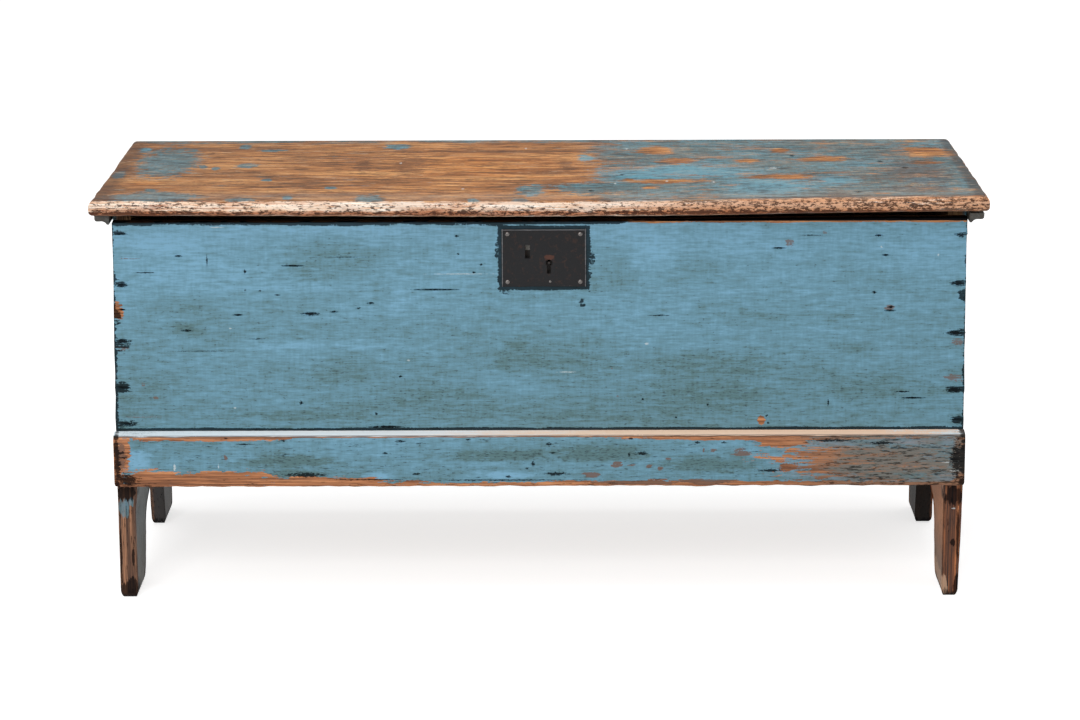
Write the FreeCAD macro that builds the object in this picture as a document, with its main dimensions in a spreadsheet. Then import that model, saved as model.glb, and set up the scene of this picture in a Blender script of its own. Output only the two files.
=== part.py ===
import FreeCAD, Part
import math
import os
import re
import Sketcher

# A six-board blanket chest: two end boards cut out below as legs, front, back and bottom boards nailed
# to them, a hinged lid with moulded cleats under its ends, a base board along the front and an iron lock.
# X runs along the chest, Y from the front to the back and Z up from the floor. The origin is on the floor
# at the middle of the whole chest, hinges included. All lengths are in millimetres.

# Driving sizes
SIZES = {
    # Case
    "body_width": 1175,
    "body_depth": 470,
    "end_height": 549,
    "end_thick": 25,
    "front_thick": 22,
    "back_thick": 22,
    "board_low": 170,
    "front_drop": 12,
    "bottom_thick": 20,
    "bottom_rise": 12,
    "dado_depth": 8,
    # Feet and the arch between them
    "foot_depth": 90,
    "foot_round": 7,
    "leg_flare": 18,
    "leg_height": 66,
    "arch_rise": 56,
    "arch_shoulder": 40,
    # Base board on the front
    "skirt_thick": 21,
    "skirt_drop": 4,
    "skirt_height": 76,
    "skirt_bevel": 4,
    # Lid and the cleats under its ends
    "lid_thick": 22,
    "lid_side_overhang": 27.5,
    "lid_front_overhang": 24,
    "lid_gap": 0.3,
    "lid_top_round": 9,
    "lid_bottom_round": 7,
    "cleat_gap": 1,
    "cleat_width": 20,
    "cleat_height": 13,
    "cleat_bead_height": 8.5,
    "cleat_foot_width": 3,
    "cleat_cove_width": 9,
    "cleat_cove_radius": 9,
    "cleat_nose_radius": 4,
    "cleat_reach": 12,
    # Butt hinges
    "hinge_inset": 207.5,
    "leaf_length": 76,
    "leaf_width": 19,
    "leaf_thick": 2.2,
    "knuckle_radius": 4,
    "knuckle_gap": 0.3,
    "pin_radius": 2,
    "pin_play": 0.05,
    "pin_head_radius": 3.2,
    "pin_head_thick": 1.6,
    "screw_inset": 14,
    "screw_edge": 8,
    "screw_head_radius": 3.4,
    "screw_head_depth": 1.8,
    "screw_radius": 1.7,
    "screw_length": 15,
    "screw_slot_width": 0.8,
    "screw_slot_depth": 0.9,
    # Cut nails
    "nail_head_width": 6.5,
    "nail_head_height": 4.5,
    "nail_head_thick": 1.5,
    "nail_width": 3.6,
    "nail_thick": 2.6,
    "nail_tip": 1.6,
    "nail_length": 45,
    "skirt_nail_length": 38,
    "cleat_nail_length": 29,
    "cleat_nail_inset": 7,
    # Lock plate and the holes in it
    "plate_width": 117,
    "plate_height": 81,
    "plate_thick": 2,
    "plate_right": 6.5,
    "plate_drop": 10,
    "plate_nail_side": 8.5,
    "plate_nail_end": 7,
    "dome_radius": 3.4,
    "dome_height": 1.8,
    "dome_shank_radius": 1.4,
    "dome_shank_length": 15,
    "slot_left": 22.3,
    "slot_up": 8.8,
    "slot_width": 6.5,
    "slot_height": 18.8,
    "key_right": 7,
    "key_down": 7,
    "key_radius": 4.6,
    "key_bit_width": 5,
    "key_bit_reach": 15,
    "rivet_right": 1.5,
    "rivet_down": 26,
    "rivet_radius": 2,
    "rivet_height": 1.1,
    "rivet_shank_radius": 1,
    # Lock case, bolt and what guides it
    "case_width": 82,
    "case_height": 54,
    "case_depth": 14,
    "case_wall": 1.5,
    "case_right": 4.5,
    "case_up": 0.5,
    "bolt_past": 5,
    "bolt_throw": 13,
    "bolt_length": 58,
    "bolt_thick": 5,
    "bolt_height": 16,
    "bolt_tip_height": 10,
    "bolt_tip_length": 21,
    "bolt_tip_lift": 0.7,
    "bolt_play": 0.3,
    "talon_width": 12,
    "talon_height": 5.2,
    "guide_width": 4,
    "guide_wall": 1.4,
    "guide_inset": 3.5,
    "guide_pitch": 35,
    "spring_length": 24,
    "spring_thick": 0.8,
    "spring_width": 4,
    "drill_pin_radius": 1.5,
    "drill_pin_set_back": 0.5,
    # One overrun for all cuts
    "overrun": 5,
}

# Places and lengths that follow from the driving sizes
PLACES = {
    "half_width": "body_width / 2",
    "inner_x": "half_width - end_thick",
    "nail_x": "half_width - end_thick / 2",
    "total_depth": "lid_front_overhang + body_depth + knuckle_gap + 2 * knuckle_radius",
    "front_y": "lid_front_overhang - total_depth / 2",
    "back_y": "front_y + body_depth",
    "middle_y": "front_y + body_depth / 2",
    "front_top": "end_height - front_drop",
    "front_height": "front_top - board_low",
    "back_height": "end_height - board_low",
    "bottom_low": "board_low + bottom_rise",
    "bottom_middle": "bottom_low + bottom_thick / 2",
    "bottom_depth": "body_depth - front_thick - back_thick",
    "shoulder_depth": "foot_depth + leg_flare",
    "arch_half": "body_depth / 2 - shoulder_depth",
    "crown_span": "arch_half^2 + arch_rise^2 - 2 * arch_half * arch_shoulder",
    "crown_radius": "crown_span / (2 * (arch_rise - arch_shoulder))",
    "crown_turn": "atan((arch_half - arch_shoulder) / (crown_radius - arch_rise))",
    "crown_half": "crown_radius * sin(crown_turn)",
    "crown_low": "leg_height + arch_rise - crown_radius * (1 - cos(crown_turn))",
    "skirt_low": "board_low - skirt_drop",
    "skirt_nail_z": "skirt_low + (skirt_height - skirt_bevel) / 2",
    "lid_low": "end_height + lid_gap",
    "lid_high": "lid_low + lid_thick",
    "lid_half": "half_width + lid_side_overhang",
    "lid_front": "front_y - lid_front_overhang",
    "cleat_inner": "half_width + cleat_gap",
    "cleat_front": "front_y - cleat_reach",
    "cleat_length": "cleat_reach + body_depth",
    "hinge_x": "half_width - hinge_inset",
    "hinge_y": "back_y + knuckle_gap + knuckle_radius",
    "hinge_z": "end_height + lid_gap / 2",
    "bore_radius": "pin_radius + pin_play",
    "relief_radius": "knuckle_radius + knuckle_gap",
    "screw_y": "back_y - screw_edge",
    "plate_high": "front_top - plate_drop",
    "plate_low": "plate_high - plate_height",
    "plate_middle": "plate_low + plate_height / 2",
    "plate_left": "plate_right - plate_width / 2",
    "plate_front": "front_y - plate_thick",
    "slot_x": "plate_right - slot_left",
    "slot_z": "plate_middle + slot_up",
    "key_x": "plate_right + key_right",
    "key_z": "plate_middle - key_down",
    "rivet_x": "key_x + rivet_right",
    "rivet_z": "key_z - rivet_down",
    "case_left": "plate_right + case_right - case_width / 2",
    "case_low": "plate_middle + case_up - case_height / 2",
    "case_high": "case_low + case_height",
    "case_back": "front_y + case_depth - case_wall",
    "bolt_back": "case_back - bolt_play",
    "bolt_front": "bolt_back - bolt_thick",
    "bolt_left": "slot_x - slot_width / 2 - bolt_past",
    "bolt_tip_low": "slot_z + bolt_tip_lift",
    "bolt_high": "bolt_tip_low + bolt_tip_height",
    "bolt_low": "bolt_high - bolt_height",
    "talon_x": "key_x - bolt_throw / 2",
    "left_guide_x": "slot_x + slot_width / 2 + guide_inset",
    "right_guide_x": "left_guide_x + guide_pitch",
    "guide_front": "bolt_front - bolt_play - guide_wall",
    "spring_x": "left_guide_x + guide_width / 2 + guide_pitch / 2",
    "spring_low": "bolt_high + bolt_play",
    "spring_rise": "case_high - case_wall - spring_low",
    "spring_radius": "(spring_length^2 / 4 + spring_rise^2) / (2 * spring_rise)",
}

# Nail places, each as a share of the board's height or length
FRONT_LEFT_NAIL_SHARES = (0.204, 0.312, 0.525, 0.652, 0.749, 0.942)
FRONT_RIGHT_NAIL_SHARES = (0.204, 0.362, 0.563, 0.687, 0.896)
BACK_NAIL_SHARES = (0.08, 0.3, 0.52, 0.74, 0.94)
BOTTOM_NAIL_SHARES = (-0.4, -0.2, 0, 0.2, 0.4)
SKIRT_NAIL_SHARES = (-0.46, -0.29, -0.1, 0.1, 0.29, 0.46)
CLEAT_NAIL_SHARES = (0.07, 0.36, 0.64, 0.93)
KNUCKLE_COUNT = 5
PITCH = f"leaf_length / {KNUCKLE_COUNT}"
SCREW_COUNT = 3

LEFT, RIGHT = -1, 1
X_AXIS = FreeCAD.Vector(1, 0, 0)
Y_AXIS = FreeCAD.Vector(0, 1, 0)
Z_AXIS = FreeCAD.Vector(0, 0, 1)

WORD = re.compile(r"[a-z][a-z_]*")

doc = FreeCAD.newDocument("blanket_chest")
nodes = []


def formula(text, inside_places=False):
    """Put its sheet's name before each size and place that the text names."""

    def with_sheet(match):
        word = match.group()
        if word in SIZES:
            return f"Sizes.{word}"
        if word in PLACES and not inside_places:
            return f"Places.{word}"
        return word

    return WORD.sub(with_sheet, text)


def fill_sheet(label, entries):
    """Make a sheet with a row for each entry: its word, then its cell, with the word as alias."""
    sheet = doc.addObject("Spreadsheet::Sheet", label)
    for row, (word, entry) in enumerate(entries.items(), start=1):
        sheet.set(f"A{row}", word)
        sheet.set(f"B{row}", entry)
        sheet.setAlias(f"B{row}", word)
    return sheet


sizes = fill_sheet("Sizes", {word: str(number) for word, number in SIZES.items()})
fill_sheet("Places", {word: f"={formula(text, inside_places=True)}" for word, text in PLACES.items()})
doc.recompute()


def value(text):
    """The number that a formula gives now."""
    found = sizes.evalExpression(formula(text))
    return getattr(found, "Value", found)


def bind(thing, **formulas):
    """Tie properties of an object to the sheets. Two underscores in a name stand for a dot."""
    for path, text in formulas.items():
        thing.setExpression(path.replace("__", "."), formula(text))


def place(thing, x="0", y="0", z="0"):
    """Tie an object's position to the sheets."""
    bind(thing, Placement__Base__x=x, Placement__Base__y=y, Placement__Base__z=z)


def aim(thing, natural, towards):
    """Turn an object so that its natural direction points another way."""
    thing.Placement = FreeCAD.Placement(FreeCAD.Vector(), FreeCAD.Rotation(natural, towards))


def block(name, x, y, z):
    """A box, given by its low edge and its length along each axis."""
    solid = doc.addObject("Part::Box", name)
    bind(solid, Length=x[1], Width=y[1], Height=z[1])
    place(solid, x[0], y[0], z[0])
    return solid


def rod(name, spot, towards, radius, length):
    """A round bar that starts at a spot and runs towards a direction."""
    solid = doc.addObject("Part::Cylinder", name)
    bind(solid, Radius=radius, Height=length)
    aim(solid, Z_AXIS, towards)
    place(solid, *spot)
    return solid


def join(label, pieces):
    """Fuse what touches. What doesn't touch stays a separate solid of the same group."""
    group = doc.addObject("Part::MultiFuse", label)
    group.Shapes = pieces
    return group


def cut(label, base, tools):
    """Take a list of tools out of a base."""
    tool = tools[0]
    if len(tools) > 1:
        tool = doc.addObject("Part::Compound", f"{label}_cuts")
        tool.Links = tools
    result = doc.addObject("Part::Cut", label)
    result.Base = base
    result.Tool = tool
    return result


def node(piece):
    """Note a piece as one of the chest's sub-parts."""
    nodes.append(piece)
    return piece


def arc_middle(start, end, radius):
    """Middle of a short arc. With a positive radius it bulges to the right of its own way."""
    half = (end - start) * 0.5
    across = FreeCAD.Vector(half.y, -half.x, 0).normalize()
    bulge = abs(radius) - math.sqrt(radius**2 - half.Length**2)
    return start + half + across * math.copysign(bulge, radius)


def hold(sketch, name, constraint, text):
    """Add a measured constraint to a sketch and tie it to the sheets."""
    sketch.renameConstraint(sketch.addConstraint(constraint), name)
    sketch.setExpression(f"Constraints.{name}", formula(text))


def draw(sketch, corners):
    """Draw a closed outline, counterclockwise. A corner is (across, up), and has an arc's radius as a
    third entry where the edge that leaves it is round: positive outwards, negative with a minus sign."""
    spots = [FreeCAD.Vector(value(corner[0]), value(corner[1]), 0) for corner in corners]
    ends = []
    for index, corner in enumerate(corners):
        start = spots[index]
        end = spots[(index + 1) % len(spots)]
        inwards = len(corner) > 2 and value(corner[2]) < 0
        ends.append((2, 1) if inwards else (1, 2))
        if len(corner) > 2:
            sketch.addGeometry(Part.Arc(start, arc_middle(start, end, value(corner[2])), end), False)
        else:
            sketch.addGeometry(Part.LineSegment(start, end), False)
    for index, corner in enumerate(corners):
        after = (index + 1) % len(corners)
        sketch.addConstraint(Sketcher.Constraint("Coincident", index, ends[index][1], after, ends[after][0]))
        for way, text in zip(("DistanceX", "DistanceY"), corner):
            measure = Sketcher.Constraint(way, -1, 1, index, ends[index][0], value(text))
            hold(sketch, f"{way}_{index}", measure, text)
        if len(corner) > 2:
            bend = f"abs({corner[2]})"
            hold(sketch, f"Radius_{index}", Sketcher.Constraint("Radius", index, value(bend)), bend)


def new_sketch(body, plane, name):
    """A sketch on one of the body's own origin planes."""
    sketch = body.newObject("Sketcher::SketchObject", name)
    found = [part for part in body.Origin.OriginFeatures if part.Role == plane]
    sketch.AttachmentSupport = [(found[0], "")]
    sketch.MapMode = "FlatFace"
    return sketch


def padded(label, plane, corners, length, backwards=False):
    """A body with one outline, padded to a length. Returns the body and the pad."""
    body = doc.addObject("PartDesign::Body", label)
    sketch = new_sketch(body, plane, f"{label}_outline")
    draw(sketch, corners)
    pad = body.newObject("PartDesign::Pad", f"{label}_pad")
    pad.Profile = sketch
    pad.Reversed = backwards
    bind(pad, Length=length)
    doc.recompute()
    return body, pad


def fillet(body, feature, name, radius, wanted):
    """Round the edges of a feature whose middle point is a wanted one."""
    edges = [f"Edge{number}" for number, edge in enumerate(feature.Shape.Edges, start=1)
             if wanted(edge.BoundBox)]
    rounded = body.newObject("PartDesign::Fillet", name)
    rounded.Base = (feature, edges)
    bind(rounded, Radius=radius)
    body.Tip = rounded
    doc.recompute()
    return rounded


def tapered(name, start, end, width, height, end_width, towards, spot):
    """A four-sided bar between two distances from a spot. Only its width tapers."""
    solid = doc.addObject("Part::Wedge", name)
    bind(solid, Ymin=start, Ymax=end,
         Xmin=f"-{width} / 2", Xmax=f"{width} / 2", X2min=f"-{end_width} / 2", X2max=f"{end_width} / 2",
         Zmin=f"-{height} / 2", Zmax=f"{height} / 2", Z2min=f"-{height} / 2", Z2max=f"{height} / 2")
    aim(solid, Y_AXIS, towards)
    place(solid, *spot)
    return solid


def cut_nails(label, spots, length):
    """A group of cut nails. Each spot is the middle of a head, and the way that its nail points."""
    pieces = []
    for count, (spot, towards) in enumerate(spots, start=1):
        pieces.append(tapered(f"{label}_head_{count}", "0", "nail_head_thick", "nail_head_width",
                              "nail_head_height", "nail_head_width", towards, spot))
        pieces.append(tapered(f"{label}_shank_{count}", "nail_head_thick", length, "nail_width",
                              "nail_thick", "nail_tip", towards, spot))
    return join(label, pieces)


def wood_screws(label, spots, towards):
    """A group of countersunk screws with slotted heads. Returns them unslotted, as cutters for holes."""
    pieces = []
    slots = []
    for count, spot in enumerate(spots, start=1):
        head = doc.addObject("Part::Cone", f"{label}_head_{count}")
        bind(head, Radius1="screw_head_radius", Radius2="screw_radius", Height="screw_head_depth")
        aim(head, Z_AXIS, towards)
        place(head, *spot)
        pieces.append(head)
        pieces.append(rod(f"{label}_shank_{count}", spot, towards, "screw_radius", "screw_length"))
        x, y, z = spot
        slots.append(block(f"{label}_slot_{count}",
                           (f"{x} - screw_head_radius", "2 * screw_head_radius"),
                           (f"{y} - screw_slot_width / 2", "screw_slot_width"),
                           (f"{z} - screw_slot_depth", "2 * screw_slot_depth")))
    plain = join(f"{label}_plain", pieces)
    node(cut(label, plain, slots))
    return plain


def make_front_nails():
    """Nails through the front board's ends into the end boards."""
    spots = []
    for side, shares in ((LEFT, FRONT_LEFT_NAIL_SHARES), (RIGHT, FRONT_RIGHT_NAIL_SHARES)):
        for share in shares:
            spot = (f"{side} * nail_x", "front_y", f"board_low + {share} * front_height")
            spots.append((spot, Y_AXIS))
    return node(cut_nails("front_board_nails", spots, "nail_length"))


def make_back_nails():
    """Nails through the back board's ends into the end boards."""
    spots = []
    for side in (LEFT, RIGHT):
        for share in BACK_NAIL_SHARES:
            spot = (f"{side} * nail_x", "back_y", f"board_low + {share} * back_height")
            spots.append((spot, -Y_AXIS))
    return node(cut_nails("back_board_nails", spots, "nail_length"))


def make_bottom_nails():
    """Nails through the front and back boards into the bottom board's edges."""
    spots = []
    for share in BOTTOM_NAIL_SHARES:
        x = f"{share} * body_width"
        spots.append(((x, "front_y", "bottom_middle"), Y_AXIS))
        spots.append(((x, "back_y", "bottom_middle"), -Y_AXIS))
    return node(cut_nails("bottom_board_nails", spots, "nail_length"))


def make_skirt_nails():
    """Nails through the base board into the front board."""
    spots = [((f"{share} * body_width", "front_y - skirt_thick", "skirt_nail_z"), Y_AXIS)
             for share in SKIRT_NAIL_SHARES]
    return node(cut_nails("skirt_nails", spots, "skirt_nail_length"))


def make_cleat_nails():
    """Nails down through the lid's ends into the cleats."""
    spots = []
    for side in (LEFT, RIGHT):
        for share in CLEAT_NAIL_SHARES:
            spot = (f"{side} * (cleat_inner + cleat_nail_inset)",
                    f"cleat_front + {share} * cleat_length", "lid_high")
            spots.append((spot, -Z_AXIS))
    return node(cut_nails("lid_cleat_nails", spots, "cleat_nail_length"))


def make_bottom_board(nails):
    """The floor of the chest, let into both end boards."""
    blank = block("bottom_blank", ("-inner_x - dado_depth", "2 * (inner_x + dado_depth)"),
                  ("front_y + front_thick", "bottom_depth"), ("bottom_low", "bottom_thick"))
    return node(cut("bottom_board", blank, [nails]))


def make_end_board(label, side, tools):
    """An end board, notched for the front and back boards and cut out below into two legs."""
    corners = [
        ("front_y", "0"),
        ("front_y + foot_depth", "0"),
        ("front_y + shoulder_depth", "leg_height", "-arch_shoulder"),
        ("middle_y - crown_half", "crown_low", "-crown_radius"),
        ("middle_y + crown_half", "crown_low", "-arch_shoulder"),
        ("back_y - shoulder_depth", "leg_height"),
        ("back_y - foot_depth", "0"),
        ("back_y", "0"),
        ("back_y", "board_low"),
        ("back_y - back_thick", "board_low"),
        ("back_y - back_thick", "end_height"),
        ("front_y + front_thick", "end_height"),
        ("front_y + front_thick", "board_low"),
        ("front_y", "board_low"),
    ]
    body, pad = padded(f"{label}_blank", "YZ_Plane", corners, "end_thick")
    fillet(body, pad, f"{label}_foot_round", "foot_round",
           lambda box: box.ZMax < value("foot_round") and box.YLength < value("foot_round"))
    place(body, x="inner_x" if side == RIGHT else "-half_width")
    return node(cut(label, body, tools))


def make_skirt(nails):
    """The base board along the front, with a bevel that sheds dust from its top."""
    corners = [
        ("front_y - skirt_thick", "skirt_low"),
        ("front_y", "skirt_low"),
        ("front_y", "skirt_low + skirt_height"),
        ("front_y - skirt_thick", "skirt_low + skirt_height - skirt_bevel"),
    ]
    body, _ = padded("skirt_blank", "YZ_Plane", corners, "body_width")
    place(body, x="-half_width")
    return node(cut("skirt_board", body, [nails]))


def make_front_board(tools):
    """The front board, which leaves a gap under the lid and holds the lock in a mortise."""
    blank = block("front_blank", ("-half_width", "body_width"), ("front_y", "front_thick"),
                  ("board_low", "front_height"))
    mortise = block("lock_mortise", ("case_left", "case_width"), ("front_y", "case_depth"),
                    ("case_low", "case_height"))
    return node(cut("front_board", blank, [mortise] + tools))


def make_back_board(tools):
    """The back board, as high as the end boards and let in for the hinges."""
    blank = block("back_blank", ("-half_width", "body_width"), ("back_y - back_thick", "back_thick"),
                  ("board_low", "back_height"))
    return node(cut("back_board", blank, tools))


def make_lid(tools):
    """The lid board, nosed along its front and both ends."""
    corners = [
        ("-lid_half", "lid_front"),
        ("lid_half", "lid_front"),
        ("lid_half", "back_y"),
        ("-lid_half", "back_y"),
    ]
    body, pad = padded("lid_blank", "XY_Plane", corners, "lid_thick")
    middle = value("lid_thick") / 2
    whole = pad.Shape.BoundBox

    def nosed(box):
        """True for an edge along the front or an end, top or bottom."""
        flat = box.ZLength < middle
        return flat and not box.YMin > whole.YMax - middle

    top = fillet(body, pad, "lid_top_nosing", "lid_top_round",
                 lambda box: nosed(box) and box.ZMin > middle)
    fillet(body, top, "lid_bottom_nosing", "lid_bottom_round",
           lambda box: nosed(box) and box.ZMax < value("lid_thick - lid_top_round") / 2)
    place(body, z="lid_low")
    return node(cut("lid_board", body, tools))


def make_cleat(label, side, nails):
    """A moulded cleat under one end of the lid: a bead outside, and a cove down to its foot."""
    outline = [
        ("0", "-cleat_height"),
        ("cleat_foot_width", "-cleat_height", "-cleat_cove_radius"),
        ("cleat_foot_width + cleat_cove_width", "-cleat_bead_height"),
        ("cleat_width - cleat_nose_radius", "-cleat_bead_height", "cleat_nose_radius"),
        ("cleat_width", "cleat_nose_radius - cleat_bead_height"),
        ("cleat_width", "0"),
        ("0", "0"),
    ]
    if side == RIGHT:
        corners = [(f"cleat_inner + {corner[0]}", *corner[1:]) for corner in outline]
    else:
        # Mirrored, so the corners run the other way round and each arc belongs to the corner before it.
        flipped = list(reversed(outline))
        radii = [flipped[(index + 1) % len(flipped)][2:] for index in range(len(flipped))]
        corners = [(f"-(cleat_inner + {corner[0]})", corner[1], *radius)
                   for corner, radius in zip(flipped, radii)]
    body, _ = padded(f"{label}_blank", "XZ_Plane", corners, "cleat_length", backwards=True)
    place(body, y="cleat_front", z="lid_low")
    return node(cut(label, body, [nails]))


def knuckles(label, left, kept):
    """The knuckles with the kept numbers, as rods along the hinge's axis."""
    rods = []
    for count in kept:
        spot = (f"{left} + {count} * {PITCH} + knuckle_gap / 2", "hinge_y", "hinge_z")
        rods.append(rod(f"{label}_{count}", spot, X_AXIS, "knuckle_radius", f"{PITCH} - knuckle_gap"))
    return rods


def make_leaf(label, left, low, own, screws):
    """One leaf of a butt hinge: its plate and its own knuckles, clear of those of the other leaf."""
    plate = block(f"{label}_plate", (left, "leaf_length"),
                  ("back_y - leaf_width", "hinge_y + leaf_width - back_y"), (low, "leaf_thick"))
    reliefs = []
    for count in range(KNUCKLE_COUNT):
        if count not in own:
            reliefs.append(block(f"{label}_relief_{count}",
                                 (f"{left} + {count} * {PITCH} - knuckle_gap / 2", f"{PITCH} + knuckle_gap"),
                                 ("hinge_y - relief_radius", "2 * relief_radius"),
                                 ("hinge_z - relief_radius", "2 * relief_radius")))
    cleared = cut(f"{label}_cleared", plate, reliefs)
    solid = join(f"{label}_solid", [cleared] + knuckles(f"{label}_knuckle", left, own))
    bore = rod(f"{label}_bore", (f"{left} - overrun", "hinge_y", "hinge_z"), X_AXIS, "bore_radius",
               "leaf_length + 2 * overrun")
    return node(cut(label, solid, [bore, screws]))


def make_pin(label, left):
    """A hinge pin with a head at each end."""
    spot = (left, "hinge_y", "hinge_z")
    far = (f"{left} + leaf_length", "hinge_y", "hinge_z")
    return node(join(label, [
        rod(f"{label}_shaft", spot, X_AXIS, "pin_radius", "leaf_length"),
        rod(f"{label}_left_head", spot, -X_AXIS, "pin_head_radius", "pin_head_thick"),
        rod(f"{label}_right_head", far, X_AXIS, "pin_head_radius", "pin_head_thick"),
    ]))


def make_hinge(name, side):
    """A butt hinge let into the back board's top edge and the lid. Returns what each is cut by."""
    left = f"({side} * hinge_x - leaf_length / 2)"
    step = f"(leaf_length - 2 * screw_inset) / {SCREW_COUNT - 1}"
    columns = [f"{left} + screw_inset + {count} * {step}" for count in range(SCREW_COUNT)]
    body_spots = [(x, "screw_y", "end_height") for x in columns]
    lid_spots = [(x, "screw_y", "lid_low") for x in columns]
    body_holes = wood_screws(f"{name}_body_screws", body_spots, -Z_AXIS)
    lid_holes = wood_screws(f"{name}_lid_screws", lid_spots, Z_AXIS)
    body_leaf = make_leaf(f"{name}_body_leaf", left, "end_height - leaf_thick",
                          range(0, KNUCKLE_COUNT, 2), body_holes)
    lid_leaf = make_leaf(f"{name}_lid_leaf", left, "lid_low", range(1, KNUCKLE_COUNT, 2), lid_holes)
    make_pin(f"{name}_pin", left)
    return [body_leaf, body_holes], [lid_leaf, lid_holes]


def make_dome_nails(label, spots):
    """Round nails with domed heads, from the front."""
    pieces = []
    for count, spot in enumerate(spots, start=1):
        dome = doc.addObject("Part::Ellipsoid", f"{label}_dome_{count}")
        bind(dome, Radius1="dome_height", Radius2="dome_radius")
        dome.Angle1 = 0
        aim(dome, Z_AXIS, -Y_AXIS)
        place(dome, *spot)
        pieces.append(dome)
        pieces.append(rod(f"{label}_shank_{count}", spot, Y_AXIS, "dome_shank_radius", "dome_shank_length"))
    return node(join(label, pieces))


def make_lock_plate():
    """The iron plate, with its hasp slot and keyhole. Returns the nails that hold it."""
    spots = [(f"plate_right + {across} * (plate_width / 2 - plate_nail_side)", "plate_front",
              f"plate_middle + {up} * (plate_height / 2 - plate_nail_end)")
             for across in (-1, 1) for up in (-1, 1)]
    nails = make_dome_nails("lock_plate_nails", spots)
    head = doc.addObject("Part::Ellipsoid", "rivet_head")
    bind(head, Radius1="rivet_height", Radius2="rivet_radius")
    head.Angle1 = 0
    aim(head, Z_AXIS, -Y_AXIS)
    place(head, "rivet_x", "plate_front", "rivet_z")
    shank = rod("rivet_shank", ("rivet_x", "plate_front", "rivet_z"), Y_AXIS, "rivet_shank_radius",
                "plate_thick")
    rivet = node(join("keyhole_cover_rivet", [head, shank]))

    blank = block("lock_plate_blank", ("plate_left", "plate_width"), ("plate_front", "plate_thick"),
                  ("plate_low", "plate_height"))
    through = ("plate_front - overrun", "plate_thick + 2 * overrun")
    slot = block("hasp_slot", ("slot_x - slot_width / 2", "slot_width"), through,
                 ("slot_z - slot_height / 2", "slot_height"))
    key_round = rod("key_round", ("key_x", "plate_front - overrun", "key_z"), Y_AXIS, "key_radius",
                    "plate_thick + 2 * overrun")
    key_bit = block("key_bit", ("key_x - key_bit_width / 2", "key_bit_width"), through,
                    ("key_z - key_bit_reach", "key_bit_reach"))
    node(cut("lock_plate", blank, [slot, key_round, key_bit, nails, rivet]))
    return nails


def make_lock_case():
    """The case behind the plate: an iron tray whose open side the plate closes."""
    outer = block("case_outer", ("case_left", "case_width"), ("front_y", "case_depth"),
                  ("case_low", "case_height"))
    inner = block("case_inner", ("case_left + case_wall", "case_width - 2 * case_wall"),
                  ("front_y - overrun", "case_depth - case_wall + overrun"),
                  ("case_low + case_wall", "case_height - 2 * case_wall"))
    node(cut("lock_case", outer, [inner]))
    node(rod("lock_drill_pin", ("key_x", "plate_front + drill_pin_set_back", "key_z"), Y_AXIS,
             "drill_pin_radius", "case_back - plate_front - drill_pin_set_back"))


def make_bolt():
    """The bolt, thrown: its narrow end crosses the hasp slot, and the key turns in its talon."""
    corners = [
        ("bolt_left + bolt_tip_length", "bolt_low"),
        ("talon_x - talon_width / 2", "bolt_low"),
        ("talon_x - talon_width / 2", "bolt_low + talon_height"),
        ("talon_x + talon_width / 2", "bolt_low + talon_height"),
        ("talon_x + talon_width / 2", "bolt_low"),
        ("bolt_left + bolt_length", "bolt_low"),
        ("bolt_left + bolt_length", "bolt_high"),
        ("bolt_left", "bolt_high"),
        ("bolt_left", "bolt_tip_low"),
        ("bolt_left + bolt_tip_length", "bolt_tip_low"),
    ]
    body, _ = padded("lock_bolt", "XZ_Plane", corners, "bolt_thick", backwards=True)
    place(body, y="bolt_front")
    return node(body)


def make_guide(label, left, low):
    """A strap over the bolt, with its feet on the case's back."""
    outer = block(f"{label}_outer", (left, "guide_width"), ("guide_front", "case_back - guide_front"),
                  (f"{low} - bolt_play - guide_wall", f"bolt_high - {low} + 2 * (bolt_play + guide_wall)"))
    inner = block(f"{label}_inner", (f"{left} - overrun", "guide_width + 2 * overrun"),
                  ("bolt_front - bolt_play", "case_back - bolt_front + bolt_play + overrun"),
                  (f"{low} - bolt_play", f"bolt_high - {low} + 2 * bolt_play"))
    return node(cut(label, outer, [inner]))


def make_spring():
    """A bowed leaf spring between the bolt's top and the case."""
    middle = ("spring_x", "bolt_back - spring_width", "case_high - case_wall - spring_radius")
    outer = rod("spring_outer", middle, Y_AXIS, "spring_radius", "spring_width")
    inner = rod("spring_inner", (middle[0], f"{middle[1]} - overrun", middle[2]), Y_AXIS,
                "spring_radius - spring_thick", "spring_width + 2 * overrun")
    arc = cut("spring_arc", outer, [inner])
    window = block("spring_window", ("spring_x - spring_length", "2 * spring_length"),
                   (f"{middle[1]} - overrun", "spring_width + 2 * overrun"),
                   ("spring_low", "spring_rise + overrun"))
    spring = doc.addObject("Part::Common", "lock_bolt_spring")
    spring.Base = arc
    spring.Tool = window
    return node(spring)


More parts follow.
